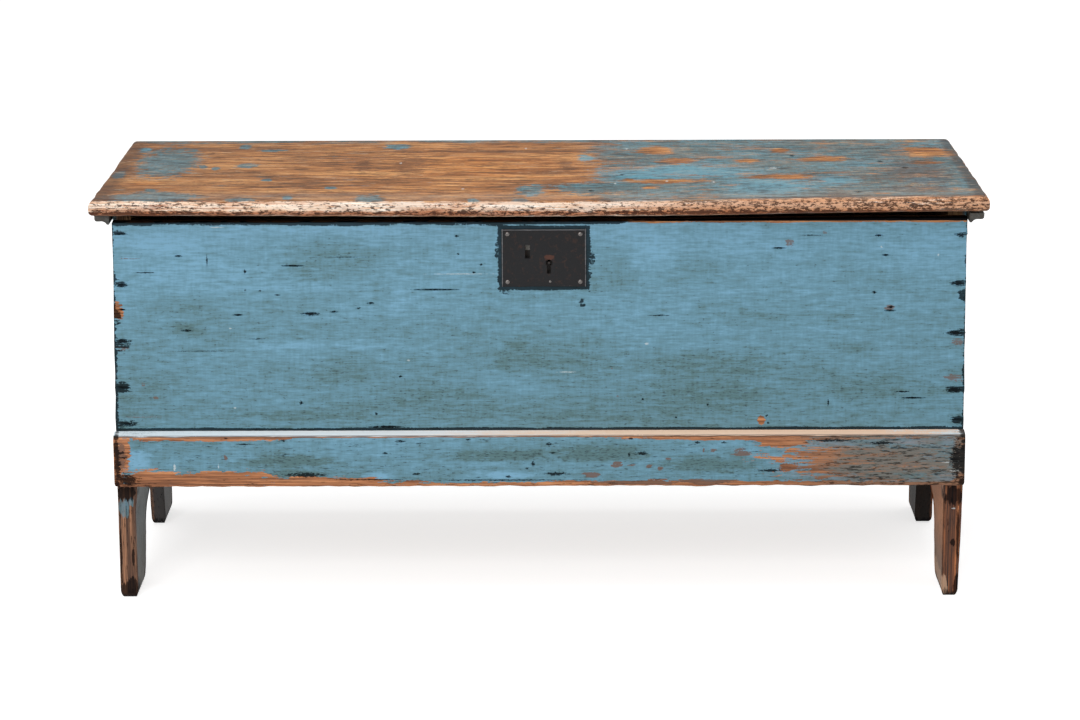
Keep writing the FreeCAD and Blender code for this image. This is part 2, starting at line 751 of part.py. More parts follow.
def make_chest():
    """All the pieces, the fastenings first because they cut the boards."""
    front_nails = make_front_nails()
    back_nails = make_back_nails()
    bottom_nails = make_bottom_nails()
    skirt_nails = make_skirt_nails()
    cleat_nails = make_cleat_nails()
    bottom = make_bottom_board(bottom_nails)
    for label, side in (("end_board_left", LEFT), ("end_board_right", RIGHT)):
        make_end_board(label, side, [bottom, front_nails, back_nails])
    plate_nails = make_lock_plate()
    make_front_board([front_nails, bottom_nails, skirt_nails, plate_nails])
    make_skirt(skirt_nails)
    make_lock_case()
    make_bolt()
    make_guide("lock_bolt_guide_left", "left_guide_x", "bolt_tip_low")
    make_guide("lock_bolt_guide_right", "right_guide_x", "bolt_low")
    make_spring()
    back_cuts = [back_nails, bottom_nails]
    lid_cuts = [cleat_nails]
    for name, side in (("hinge_left", LEFT), ("hinge_right", RIGHT)):
        body_cuts, own_lid_cuts = make_hinge(name, side)
        back_cuts += body_cuts
        lid_cuts += own_lid_cuts
    make_back_board(back_cuts)
    make_lid(lid_cuts)
    make_cleat("lid_cleat_left", LEFT, cleat_nails)
    make_cleat("lid_cleat_right", RIGHT, cleat_nails)


def check_document():
    """Stop if an object failed or a sub-part has no sound shape."""
    for thing in doc.Objects:
        if "Invalid" in thing.State or "Error" in thing.State:
            raise RuntimeError(f"{thing.Label} is {thing.State}")
    for piece in nodes:
        if piece.Shape.isNull() or not piece.Shape.isValid() or not piece.Shape.Solids:
            raise RuntimeError(f"{piece.Label} has no valid solid")


make_chest()
doc.recompute()
check_document()
os.makedirs("parts", exist_ok=True)
for piece in nodes:
    piece.Shape.exportStep(f"parts/{piece.Label}.step")
    print(f"{piece.Label}: {len(piece.Shape.Solids)} solids, {piece.Shape.Volume:.1f} cubic mm")
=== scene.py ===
"""Looks of a worn blue six-board blanket chest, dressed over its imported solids.

All lengths are in metres, in the frame of the solids: +X to the right, +Y to the back, +Z up.
"""
import logging
import math
from collections.abc import Callable, Iterable, Sequence
from dataclasses import dataclass
from enum import Enum
from functools import reduce

import bmesh
import bpy
from mathutils import Matrix, Vector


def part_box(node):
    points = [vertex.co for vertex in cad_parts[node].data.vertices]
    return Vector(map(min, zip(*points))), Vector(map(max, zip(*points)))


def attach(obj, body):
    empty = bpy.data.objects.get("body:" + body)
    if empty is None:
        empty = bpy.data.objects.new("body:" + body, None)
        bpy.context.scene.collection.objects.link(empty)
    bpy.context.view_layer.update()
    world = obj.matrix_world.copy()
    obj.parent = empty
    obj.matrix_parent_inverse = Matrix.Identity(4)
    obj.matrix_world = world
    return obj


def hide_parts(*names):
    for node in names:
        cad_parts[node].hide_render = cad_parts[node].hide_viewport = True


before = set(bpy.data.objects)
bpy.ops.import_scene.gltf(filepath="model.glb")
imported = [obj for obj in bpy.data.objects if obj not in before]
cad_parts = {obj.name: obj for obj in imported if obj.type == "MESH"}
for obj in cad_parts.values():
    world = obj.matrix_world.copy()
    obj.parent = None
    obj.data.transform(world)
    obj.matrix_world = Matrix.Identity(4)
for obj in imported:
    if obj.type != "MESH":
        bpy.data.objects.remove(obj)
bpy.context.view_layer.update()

log = logging.getLogger("chest")
Triple = tuple[float, float, float]
Colour = tuple[float, float, float, float]
Socket = bpy.types.NodeSocket
Tree = bpy.types.NodeTree
Material = bpy.types.Material
Source = Socket | float | Sequence[float]
MM = 0.001
FAR = 1e6
OVER = 0.01
SNUG = 1e-5
SHARP_ANGLE = 35.0
SIDES = (("left", -1), ("right", 1))


def shade(red: int, green: int, blue: int) -> Colour:
    """Turn a colour as a screen shows it into the linear colour of a shader.

    Args:
        red: Its red, 0 to 255.
        green: Its green.
        blue: Its blue.

    Returns:
        The linear colour, opaque.
    """
    def linear(level: int) -> float:
        """Turn one channel."""
        share = level / 255
        return share / 12.92 if share <= 0.04045 else ((share + 0.055) / 1.055) ** 2.4
    return linear(red), linear(green), linear(blue), 1.0


def steps(low: float, high: float, size: float) -> list[float]:
    """Give evenly spaced places strictly between two ends, about one size apart."""
    count = max(1, round((high - low) / size))
    return [low + (high - low) * index / count for index in range(1, count)]


def ramp(value: float, low: float, high: float) -> float:
    """Rise from 0 at low to 1 at high, with no corner at either end."""
    share = min(1.0, max(0.0, (value - low) / (high - low)))
    return share * share * (3 - 2 * share)


class Axis(Enum):
    """A direction of the frame."""

    X = 0
    Y = 1
    Z = 2

    @property
    def vector(self) -> Vector:
        """Unit vector of the direction."""
        return Vector(tuple(1.0 if index == self.value else 0.0 for index in range(3)))


X, Y, Z = Axis


class Kind(Enum):
    """What an edit-mode selection picks."""

    VERTICES = ("verts", "VERT")
    EDGES = ("edges", "EDGE")
    FACES = ("faces", "FACE")


class Workpiece:
    """One mesh, shaped by edit-mode operators and applied modifiers, as at a bench."""

    def __init__(self, name: str, low: Sequence[float], high: Sequence[float]) -> None:
        """Start from a block.

        Args:
            name: Name of the object.
            low: Lowest corner.
            high: Highest corner.
        """
        low, high = Vector(low), Vector(high)
        bpy.ops.object.select_all(action="DESELECT")
        bpy.ops.mesh.primitive_cube_add(size=1, location=(low + high) / 2, scale=high - low)
        self._adopt(name)

    @classmethod
    def rod(cls, name: str, centre: Sequence[float], axis: Axis, radius: float, length: float,
            sides: int = 48) -> "Workpiece":
        """Start from a round bar instead, given by its middle.

        Args:
            name: Name of the object.
            centre: Middle of the bar.
            axis: Direction of the bar.
            radius: Its radius.
            length: Its length.
            sides: Number of its flats.

        Returns:
            The new workpiece.
        """
        turn = {X: (0, math.pi / 2, 0), Y: (math.pi / 2, 0, 0), Z: (0, 0, 0)}[axis]
        piece = cls.__new__(cls)
        bpy.ops.object.select_all(action="DESELECT")
        bpy.ops.mesh.primitive_cylinder_add(vertices=sides, radius=radius, depth=length,
                                            location=centre, rotation=turn)
        piece._adopt(name)
        return piece

    @classmethod
    def ball(cls, name: str, centre: Sequence[float], radii: Sequence[float]) -> "Workpiece":
        """Start from a ball instead.

        Args:
            name: Name of the object.
            centre: Middle of the ball.
            radii: Its radius along each axis.

        Returns:
            The new workpiece.
        """
        piece = cls.__new__(cls)
        bpy.ops.object.select_all(action="DESELECT")
        bpy.ops.mesh.primitive_uv_sphere_add(segments=20, ring_count=12, radius=1, location=centre,
                                             scale=radii)
        piece._adopt(name)
        return piece

    def _adopt(self, name: str) -> None:
        """Keep the new primitive, with its place in its mesh.

        Args:
            name: Name of the object.
        """
        bpy.ops.object.transform_apply(location=True, rotation=True, scale=True)
        self.shape = bpy.context.object
        self.shape.name = name
        self.shape.data.name = name

    def take_up(self) -> None:
        """Make this the one selected and active object."""
        bpy.ops.object.select_all(action="DESELECT")
        self.shape.select_set(True)
        bpy.context.view_layer.objects.active = self.shape

    def pick(self, kind: Kind, test: Callable[[Vector, Vector], bool]) -> int:
        """Select, in edit mode, what passes a test, and leave edit mode on.

        Args:
            kind: What to pick.
            test: Gets the middle of each, and its normal or its unit direction.

        Returns:
            How many were picked.
        """
        self.enter()
        attribute, mode = kind.value
        bpy.ops.mesh.select_mode(type=mode)
        bpy.ops.mesh.select_all(action="DESELECT")
        mesh = bmesh.from_edit_mesh(self.shape.data)
        mesh.normal_update()
        count = 0
        for element in getattr(mesh, attribute):
            if kind is Kind.VERTICES:
                middle, way = element.co, element.normal
            elif kind is Kind.EDGES:
                ends = [vertex.co for vertex in element.verts]
                middle, way = (ends[0] + ends[1]) / 2, (ends[1] - ends[0]).normalized()
            else:
                middle, way = element.calc_center_median(), element.normal
            if test(middle, way):
                element.select_set(True)
                count += 1
        mesh.select_flush_mode()
        bmesh.update_edit_mesh(self.shape.data)
        return count

    def enter(self) -> None:
        """Go into edit mode."""
        self.take_up()
        bpy.ops.object.mode_set(mode="EDIT")

    def leave(self) -> None:
        """Go back to object mode."""
        bpy.ops.object.mode_set(mode="OBJECT")

    def round_edges(self, width: float, segments: int, test: Callable[[Vector, Vector], bool]) -> None:
        """Bevel the edges that pass a test.

        Args:
            width: Width of the bevel.
            segments: Number of its flats.
            test: Gets the middle of each edge and its unit direction.
        """
        if self.pick(Kind.EDGES, test):
            bpy.ops.mesh.bevel(offset=width, segments=segments, affect="EDGES", clamp_overlap=True)
        self.leave()

    def push(self, offset: Sequence[float], kind: Kind, test: Callable[[Vector, Vector], bool]) -> None:
        """Move what passes a test.

        Args:
            offset: How far, along each axis.
            kind: What to move.
            test: As for pick.
        """
        self.pick(kind, test)
        bpy.ops.transform.translate(value=offset)
        self.leave()

    def slice_at(self, axis: Axis, places: Iterable[float]) -> None:
        """Cut edges all round the piece, and keep both sides.

        Args:
            axis: The axis that the cuts are square to.
            places: Where they are along it.
        """
        self.enter()
        for place in places:
            bpy.ops.mesh.select_all(action="SELECT")
            bpy.ops.mesh.bisect(plane_co=axis.vector * place, plane_no=axis.vector)
        self.leave()

    def trim(self, axis: Axis, place: float, above: bool) -> None:
        """Cut off one end of the piece, and close the cut.

        Args:
            axis: The axis that the cut is square to.
            place: Where it is along the axis.
            above: Whether what lies above it goes, and otherwise what lies below.
        """
        self.enter()
        bpy.ops.mesh.select_all(action="SELECT")
        bpy.ops.mesh.bisect(plane_co=axis.vector * place, plane_no=axis.vector, use_fill=True,
                            clear_outer=above, clear_inner=not above)
        self.leave()

    def apply(self, modifier: bpy.types.Modifier) -> None:
        """Apply a modifier of this piece."""
        self.take_up()
        bpy.ops.object.modifier_apply(modifier=modifier.name)

    def cut_by(self, *tools: "Workpiece") -> None:
        """Take other workpieces out of this one, and throw them away.

        Args:
            tools: The other workpieces.
        """
        for tool in tools:
            modifier = self.shape.modifiers.new("cut", "BOOLEAN")
            modifier.operation = "DIFFERENCE"
            modifier.solver = "EXACT"
            modifier.object = tool.shape
            self.apply(modifier)
            bpy.data.objects.remove(tool.shape)

    def _displace(self, weight: Callable[[Vector], float], **settings: object) -> None:
        """Apply a Displace modifier with weights that come from each vertex's place.

        Args:
            weight: Gives each point's weight, 0 to 1.
            settings: The modifier's own properties.
        """
        group = self.shape.vertex_groups.new(name="weight")
        for vertex in self.shape.data.vertices:
            share = weight(vertex.co)
            if share > 0:
                group.add([vertex.index], min(1.0, share), "REPLACE")
        modifier = self.shape.modifiers.new("shift", "DISPLACE")
        modifier.vertex_group = group.name
        for name, setting in settings.items():
            setattr(modifier, name, setting)
        self.apply(modifier)
        self.shape.vertex_groups.clear()

    def lean(self, axis: Axis, amount: float, weight: Callable[[Vector], float]) -> None:
        """Shift the piece along an axis, by an amount times each point's weight of 0 to 1."""
        self._displace(weight, direction=axis.name, mid_level=0.0, strength=amount)

    def wear_down(self, depth: float, size: float, weight: Callable[[Vector], float],
                  kept: float = 0.75) -> None:
        """Dent the surface with a cloudy pattern.

        Args:
            depth: Depth from the pattern's lowest to its highest point.
            size: Size of the pattern's clouds.
            weight: Share of the depth at each point, 0 to 1.
            kept: Level of the pattern that stays in place. Lower levels are dented.
        """
        texture = bpy.data.textures.new("wear", "CLOUDS")
        texture.noise_scale = size
        texture.noise_depth = 3
        self._displace(weight, texture=texture, texture_coords="LOCAL", mid_level=kept, strength=depth)

    def finish(self, material: Material, body: str, slot: str, *nodes: str) -> bpy.types.Object:
        """Smooth the piece, dress it and join it to the frame.

        Args:
            material: What it is made of.
            body: The body that it rides on.
            slot: The record's material slot. It is not used.
            nodes: The solids that it stands for.

        Returns:
            The finished object.
        """
        self.take_up()
        bpy.ops.object.shade_smooth_by_angle(angle=math.radians(SHARP_ANGLE))
        modifier = self.shape.modifiers.new("normals", "WEIGHTED_NORMAL")
        modifier.keep_sharp = True
        self.apply(modifier)
        self.shape.data.materials.clear()
        self.shape.data.materials.append(material)
        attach(self.shape, body)
        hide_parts(*nodes)
        log.info("%s: %d faces, in place of %s", self.shape.name, len(self.shape.data.polygons), ", ".join(nodes))
        return self.shape

    def spread(self, name: str, places: Iterable[Matrix]) -> "Workpiece":
        """Copy the piece to each place, each copy with its own mesh, and join the copies as one object.

        Args:
            name: Name of the joined object.
            places: Where each copy goes, from this piece's own place.

        Returns:
            The joined workpiece. The model that was copied is thrown away.
        """
        copies = []
        for place in places:
            self.take_up()
            bpy.ops.object.duplicate(linked=False)
            copy = bpy.context.object
            copy.matrix_world = place
            bpy.ops.object.transform_apply(location=True, rotation=True, scale=True)
            copies.append(copy)
        bpy.data.objects.remove(self.shape)
        bpy.ops.object.select_all(action="DESELECT")
        for copy in copies:
            copy.select_set(True)
        bpy.context.view_layer.objects.active = copies[0]
        bpy.ops.object.join()
        joined = Workpiece.__new__(Workpiece)
        joined.shape = bpy.context.object
        joined.shape.name = joined.shape.data.name = name
        return joined


class Graph:
    """Writes a node tree. Each method adds a node and gives back an output socket."""

    def __init__(self, tree: Tree) -> None:
        """Write into a tree."""
        self.tree = tree

    def plug(self, socket: Socket, source: Source) -> None:
        """Link a socket to another, or set its value.

        Args:
            socket: The input.
            source: What goes into it.
        """
        if isinstance(source, Socket):
            self.tree.links.new(source, socket)
        else:
            socket.default_value = source

    def add(self, kind: str, plugs: dict[str | int, Source] | None = None,
            **settings: object) -> bpy.types.Node:
        """Add a node.

        Args:
            kind: Its type.
            plugs: What goes into its inputs, by name or number.
            settings: Its own properties.

        Returns:
            The node.
        """
        node = self.tree.nodes.new(kind)
        for name, setting in settings.items():
            setattr(node, name, setting)
        for key, source in (plugs or {}).items():
            self.plug(node.inputs[key], source)
        return node

    def math(self, operation: str, *values: Source, clamp: bool = False) -> Socket:
        """Work out one number."""
        plugs = dict(enumerate(values))
        return self.add("ShaderNodeMath", plugs, operation=operation, use_clamp=clamp).outputs[0]

    def vector(self, operation: str, *values: Source) -> Socket:
        """Work out one vector."""
        return self.add("ShaderNodeVectorMath", dict(enumerate(values)), operation=operation).outputs[0]

    def span(self, value: Source, low: Source, high: Source, start: Source = 0.0,
             end: Source = 1.0) -> Socket:
        """Rise smoothly from start to end while the value goes from low to high."""
        plugs = {"Value": value, "From Min": low, "From Max": high, "To Min": start, "To Max": end}
        return self.add("ShaderNodeMapRange", plugs, interpolation_type="SMOOTHSTEP").outputs[0]

    def noise(self, where: Source, scale: float, detail: float = 4.0, rough: float = 0.55,
              twist: float = 0.0) -> Socket:
        """Cloudy values of about 0.25 to 0.75."""
        plugs = {"Vector": where, "Scale": scale, "Detail": detail, "Roughness": rough, "Distortion": twist}
        return self.add("ShaderNodeTexNoise", plugs).outputs[0]

    def stretch(self, where: Source, scales: Triple, shift: Triple = (0, 0, 0)) -> Socket:
        """Scale coordinates by a different number along each axis, and shift them."""
        return self.vector("MULTIPLY_ADD", where, scales, shift)

    def cloud(self, where: Source, scales: Triple, shift: Triple = (0, 0, 0), detail: float = 3.0,
              rough: float = 0.6) -> Socket:
        """Give cloudy values of another fineness along each axis."""
        return self.noise(self.stretch(where, scales, shift), 1.0, detail, rough)

    def part(self, where: Source) -> Sequence[Socket]:
        """Take a vector apart."""
        return self.add("ShaderNodeSeparateXYZ", {0: where}).outputs

    def join(self, *parts: Source) -> Socket:
        """Put a vector together."""
        return self.add("ShaderNodeCombineXYZ", dict(enumerate(parts))).outputs[0]

    def reach(self, where: Source) -> Socket:
        """Give the length of a vector."""
        return self.add("ShaderNodeVectorMath", {0: where}, operation="LENGTH").outputs["Value"]

    def seen(self) -> Socket:
        """Give 1 where the camera sees the surface, also in a gloss or through glass."""
        rays = self.add("ShaderNodeLightPath").outputs
        return self.most(*(rays[f"Is {kind} Ray"] for kind in ("Camera", "Glossy", "Transmission")))

    def mix(self, share: Source, first: Source, second: Source) -> Socket:
        """Mix two colours.

        Args:
            share: How much of the second there is, 0 to 1.
            first: The first colour.
            second: The second colour.

        Returns:
            The mixed colour.
        """
        node = self.add("ShaderNodeMix", data_type="RGBA")
        for socket, source in zip((node.inputs[0], node.inputs[6], node.inputs[7]), (share, first, second)):
            self.plug(socket, source)
        return node.outputs[2]

    def ramp(self, value: Source, *stops: tuple[float, Colour]) -> Socket:
        """Colour a value.

        Args:
            value: The value.
            stops: Pairs of a value and its colour, from the lowest up.

        Returns:
            The colour.
        """
        node = self.add("ShaderNodeValToRGB", {0: value})
        elements = node.color_ramp.elements
        while len(elements) < len(stops):
            elements.new(1.0)
        for element, (place, colour) in zip(elements, stops):
            element.position = place
            element.color = colour
        return node.outputs[0]

    def less(self, value: Source) -> Socket:
        """Give what a share leaves over."""
        return self.math("SUBTRACT", 1.0, value, clamp=True)

    def times(self, *values: Source) -> Socket:
        """Multiply several numbers."""
        return reduce(lambda total, value: self.math("MULTIPLY", total, value), values)

    def most(self, *values: Source) -> Socket:
        """Give the greatest of several numbers."""
        return reduce(lambda total, value: self.math("MAXIMUM", total, value), values)

    def total(self, start: Source, *shares: tuple[Source, float]) -> Socket:
        """Add up several numbers.

        Args:
            start: What is there first.
            shares: Pairs of a number and its weight.

        Returns:
            The total.
        """
        for value, weight in shares:
            start = self.math("MULTIPLY_ADD", value, weight, start)
        return start

    def use(self, tree: Tree, plugs: dict[str, Source]) -> bpy.types.Node:
        """Place a node group."""
        return self.add("ShaderNodeGroup", plugs, node_tree=tree)


class Effect:
    """A shader node group under construction, with its named inputs and outputs."""

    KINDS = {"vector": "NodeSocketVector", "number": "NodeSocketFloat", "colour": "NodeSocketColor"}

    def __init__(self, name: str, inputs: dict[str, str], outputs: dict[str, str]) -> None:
        """Make the empty group.

        Args:
            name: Name of the group.
            inputs: Kind of each input: vector, number or colour.
            outputs: Kind of each output.
        """
        self.tree = bpy.data.node_groups.new(name, "ShaderNodeTree")
        for way, sockets in (("INPUT", inputs), ("OUTPUT", outputs)):
            for label, kind in sockets.items():
                self.tree.interface.new_socket(label, in_out=way, socket_type=self.KINDS[kind])
        self.graph = Graph(self.tree)
        self.inputs = self.graph.add("NodeGroupInput").outputs
        self.outputs = self.graph.add("NodeGroupOutput").inputs

    def give(self, **sources: Socket) -> Tree:
        """Link the outputs.

        Args:
            sources: What each output gives, by name.

        Returns:
            The finished group.
        """
        for label, source in sources.items():
            self.graph.plug(self.outputs[label], source)
        return self.tree


class Effects:
    """The surface effects that the finishes share."""

    def __init__(self) -> None:
        """Build each group once."""
        self.grain = self._grain()
        self.wander = self._wander()
        self.breakup = self._breakup()
        self.spots = {"soft": self._spot("soft_spot", False), "pointed": self._spot("pointed_spot", True)}
        self.old_paint = self._old_paint()
        self.iron_skin = self._iron_skin()

    @staticmethod
    def _grain() -> Tree:
        """Make the grain of a flat-sawn board that runs along X: growth rings, fibres and dark pores.

        Returns:
            The group.
        """
        effect = Effect("wood_grain", {"Vector": "vector"},
                        {"Rings": "number", "Fibres": "number", "Pores": "number"})
        graph, where = effect.graph, effect.inputs["Vector"]
        bend = graph.cloud(where, (1.3, 9.0, 9.0), detail=2.0, rough=0.5)
        lie = graph.part(where)
        phase = graph.total(0.0, (lie[1], 75.0), (lie[2], 60.0), (bend, 14.0))
        rings = graph.math("POWER", graph.math("PINGPONG", graph.math("FRACT", phase), 0.5), 1.6)
        clouds = graph.cloud(where, (3.0, 42.0, 42.0), (2.2, 6.1, 4.9), 4.0)
        fibres = graph.cloud(where, (7.0, 420.0, 420.0), detail=4.0, rough=0.68)
        pores = graph.cloud(where, (40.0, 900.0, 900.0), (3.1, 7.7, 1.3), 2.0, 0.5)
        return effect.give(Rings=graph.math("MULTIPLY", rings, 3.0, clamp=True),
                           Fibres=graph.total(-0.5, (fibres, 1.3), (clouds, 0.7)),
                           Pores=graph.span(pores, 0.58, 0.68))

    @staticmethod
    def _wander() -> Tree:
        """Make offsets of about -0.25 to 0.25 that leave an outline ragged, longer along the grain.

        Returns:
            The group.
        """
        effect = Effect("ragged_outline", {"Vector": "vector", "Along": "number", "Across": "number"},
                        {"Offset": "vector"})
        graph, across = effect.graph, effect.inputs["Across"]
        scales = graph.join(effect.inputs["Along"], across, across)
        place = graph.vector("MULTIPLY", effect.inputs["Vector"], scales)
        plugs = {"Vector": place, "Scale": 1.0, "Detail": 3.0, "Roughness": 0.65}
        node = graph.add("ShaderNodeTexNoise", plugs)
        return effect.give(Offset=graph.vector("SUBTRACT", node.outputs["Color"], (0.5, 0.5, 0.5)))

    @staticmethod
    def _breakup() -> Tree:
        """Make levels of 0 to 1 at which a worn layer gives way: long streaks, short streaks and crumbs.

        Returns:
            The group.
        """
        effect = Effect("wear_breakup", {"Vector": "vector"}, {"Level": "number"})
        graph, where = effect.graph, effect.inputs["Vector"]
        broad = graph.cloud(where, (7.0, 45.0, 45.0), detail=4.0, rough=0.68)
        streak = graph.cloud(where, (30.0, 300.0, 300.0), (5.0, 1.0, 2.0), 2.0)
        crumb = graph.noise(where, 500.0, 1.0, 0.5)
        total = graph.total(-0.70, (broad, 1.0), (streak, 0.75), (crumb, 0.35))
        return effect.give(Level=graph.math("MULTIPLY", total, 1.45, clamp=True))

    @staticmethod
    def _spot(name: str, pointed: bool) -> Tree:
        """Make a ragged spot: a lozenge if pointed, and otherwise an oval that fades out softly.

        The state is a place on the face, with the strongest spot so far as its third number.

        Args:
            name: Name of the group.
            pointed: Whether the spot has pointed ends.

        Returns:
            The group.
        """
        effect = Effect(name, {"State": "vector", "Wander": "vector", "Centre": "vector", "Radii": "vector"},
                        {"State": "vector"})
        graph, state = effect.graph, effect.inputs["State"]
        offset = graph.vector("SUBTRACT", state, effect.inputs["Centre"])
        offset = graph.vector("DIVIDE", offset, effect.inputs["Radii"])
        offset = graph.vector("ADD", offset, effect.inputs["Wander"])
        if pointed:
            sizes = {0: graph.vector("ABSOLUTE", offset), 1: (1.0, 1.0, 1.0)}
            reach = graph.add("ShaderNodeVectorMath", sizes, operation="DOT_PRODUCT").outputs["Value"]
            mask = graph.span(reach, 0.75, 1.1, 1.0, 0.0)
        else:
            mask = graph.span(graph.reach(offset), 0.45, 1.45, 1.0, 0.0)
        parts = graph.part(state)
        return effect.give(State=graph.join(parts[0], parts[1], graph.most(parts[2], mask)))

    @staticmethod
    def _old_paint() -> Tree:
        """Make the tone of old paint, 0 if clean and 1 if dirty, and the dark specks that gather in its dirt.

        Returns:
            The group.
        """
        effect = Effect("old_paint", {"Vector": "vector", "Dirt": "number"},
                        {"Tone": "number", "Specks": "number"})
        graph, where = effect.graph, effect.inputs["Vector"]
        clouds = graph.cloud(where, (4.0, 16.0, 16.0), (1.7, 0.4, 2.2), 4.0)
        flecks = graph.cloud(where, (55.0, 150.0, 150.0), (8.3, 5.1, 0.7), rough=0.65)
        brush = graph.cloud(where, (32.0, 360.0, 360.0), (0.3, 4.4, 9.2), rough=0.7)
        runs = graph.cloud(where, (260.0, 40.0, 40.0), (4.4, 2.3, 7.1), 2.0)
        tone = graph.total(-1.03, (clouds, 0.85), (flecks, 0.75), (brush, 0.9), (runs, 0.32),
                           (effect.inputs["Dirt"], 0.42))
        grit = graph.cloud(where, (150.0, 520.0, 520.0), (6.6, 3.2, 5.4), 2.0, 0.5)
        specks = graph.total(-0.16, (grit, 1.0), (tone, 0.26))
        return effect.give(Tone=tone, Specks=graph.span(specks, 0.62, 0.72))

    @staticmethod
    def _iron_skin() -> Tree:
        """Make a rough iron skin: broad hammer marks, fine pits and patches of rust.

        Returns:
            The group.
        """
        effect = Effect("iron_skin", {"Vector": "vector"},
                        {"Marks": "number", "Pits": "number", "Rust": "number"})
        graph, where = effect.graph, effect.inputs["Vector"]
        marks = graph.noise(where, 90.0, 3.0, 0.5)
        pits = graph.span(graph.noise(where, 700.0, 3.0, 0.6), 0.38, 0.60)
        rust = graph.span(graph.noise(where, 130.0, 6.0, 0.7, 0.4), 0.52, 0.68)
        return effect.give(Marks=marks, Pits=pits, Rust=rust)


class Layer(Enum):
    """What a mark does to a board, and which kind of spot it is."""

    DIRT = ("dirt", "soft")
    LIGHT = ("light", "soft")
    BARE = ("bare", "soft")
    PAINT = ("paint", "soft")
    BROWN = ("brown", "soft")
    DARK = ("dark", "soft")
    NICK = ("nick", "pointed")
    PALE = ("pale", "pointed")


@dataclass(frozen=True)
class Mark:
    """A mark on a board's face.

    Attributes:
        layer: What the mark does.
        centre: Its middle, in millimetres along the face and up or back.
        radii: Its half sizes, in millimetres.
    """

    layer: Layer
    centre: tuple[float, float]
    radii: tuple[float, float]


def marks(layer: Layer, *rows: tuple[float, float, float, float]) -> tuple[Mark, ...]:
    """Make marks of one layer from rows of a middle and half sizes, in millimetres."""
    return tuple(Mark(layer, row[:2], row[2:]) for row in rows)


@dataclass(frozen=True)
class WoodColours:
    """Colours of bare wood, from its pale fibres to its dark ones, and of its grime."""

    pale: Colour
    mid: Colour
    dark: Colour
    grime: Colour


@dataclass(frozen=True)
class PaintColours:
    """Colours of old paint: clean, as most of it is, dirty, and of its specks."""

    light: Colour
    mid: Colour
    dirty: Colour
    speck: Colour


PINE = WoodColours(shade(214, 150, 100), shade(176, 116, 74), shade(110, 68, 42), shade(34, 24, 20))
AGED_PINE = WoodColours(shade(158, 122, 84), shade(128, 96, 64), shade(88, 62, 42), shade(34, 26, 20))
SKIRT_PINE = WoodColours(shade(212, 146, 100), shade(176, 114, 74), shade(112, 70, 46), shade(36, 30, 28))
LID_PINE = WoodColours(shade(236, 176, 116), shade(190, 124, 72), shade(96, 68, 48), shade(44, 36, 32))
BRIGHT_PINE = WoodColours(shade(237, 162, 88), shade(198, 119, 54), shade(123, 73, 40), shade(52, 38, 32))
NOSE_PINE = WoodColours(shade(255, 248, 236), shade(246, 206, 172), shade(170, 104, 70), shade(46, 26, 22))
LEG_PINE = WoodColours(shade(176, 126, 94), shade(120, 84, 62), shade(70, 48, 38), shade(30, 26, 26))
DARK_LEG_PINE = WoodColours(shade(196, 122, 76), shade(122, 74, 48), shade(50, 34, 28), shade(24, 18, 18))
OLD_BLUE = PaintColours(shade(120, 168, 195), shade(102, 146, 165), shade(82, 114, 118), shade(44, 62, 66))
LID_BLUE = PaintColours(shade(100, 164, 184), shade(80, 124, 134), shade(78, 82, 80), shade(30, 28, 28))
CLEAT_BLUE = PaintColours(shade(78, 84, 84), shade(56, 60, 60), shade(40, 42, 42), shade(20, 20, 20))
STAIN = shade(92, 60, 44)
SCAR = shade(106, 78, 64)
CHARRED = shade(64, 44, 38)
# Black of grime, also laid as painted shade in the gap under the lid and on the rear legs.
GRIME_AND_SHADE_BLACK = shade(16, 16, 18)
DRIED_WHITE = shade(214, 220, 220)
WHITE = (1.0, 1.0, 1.0, 1.0)


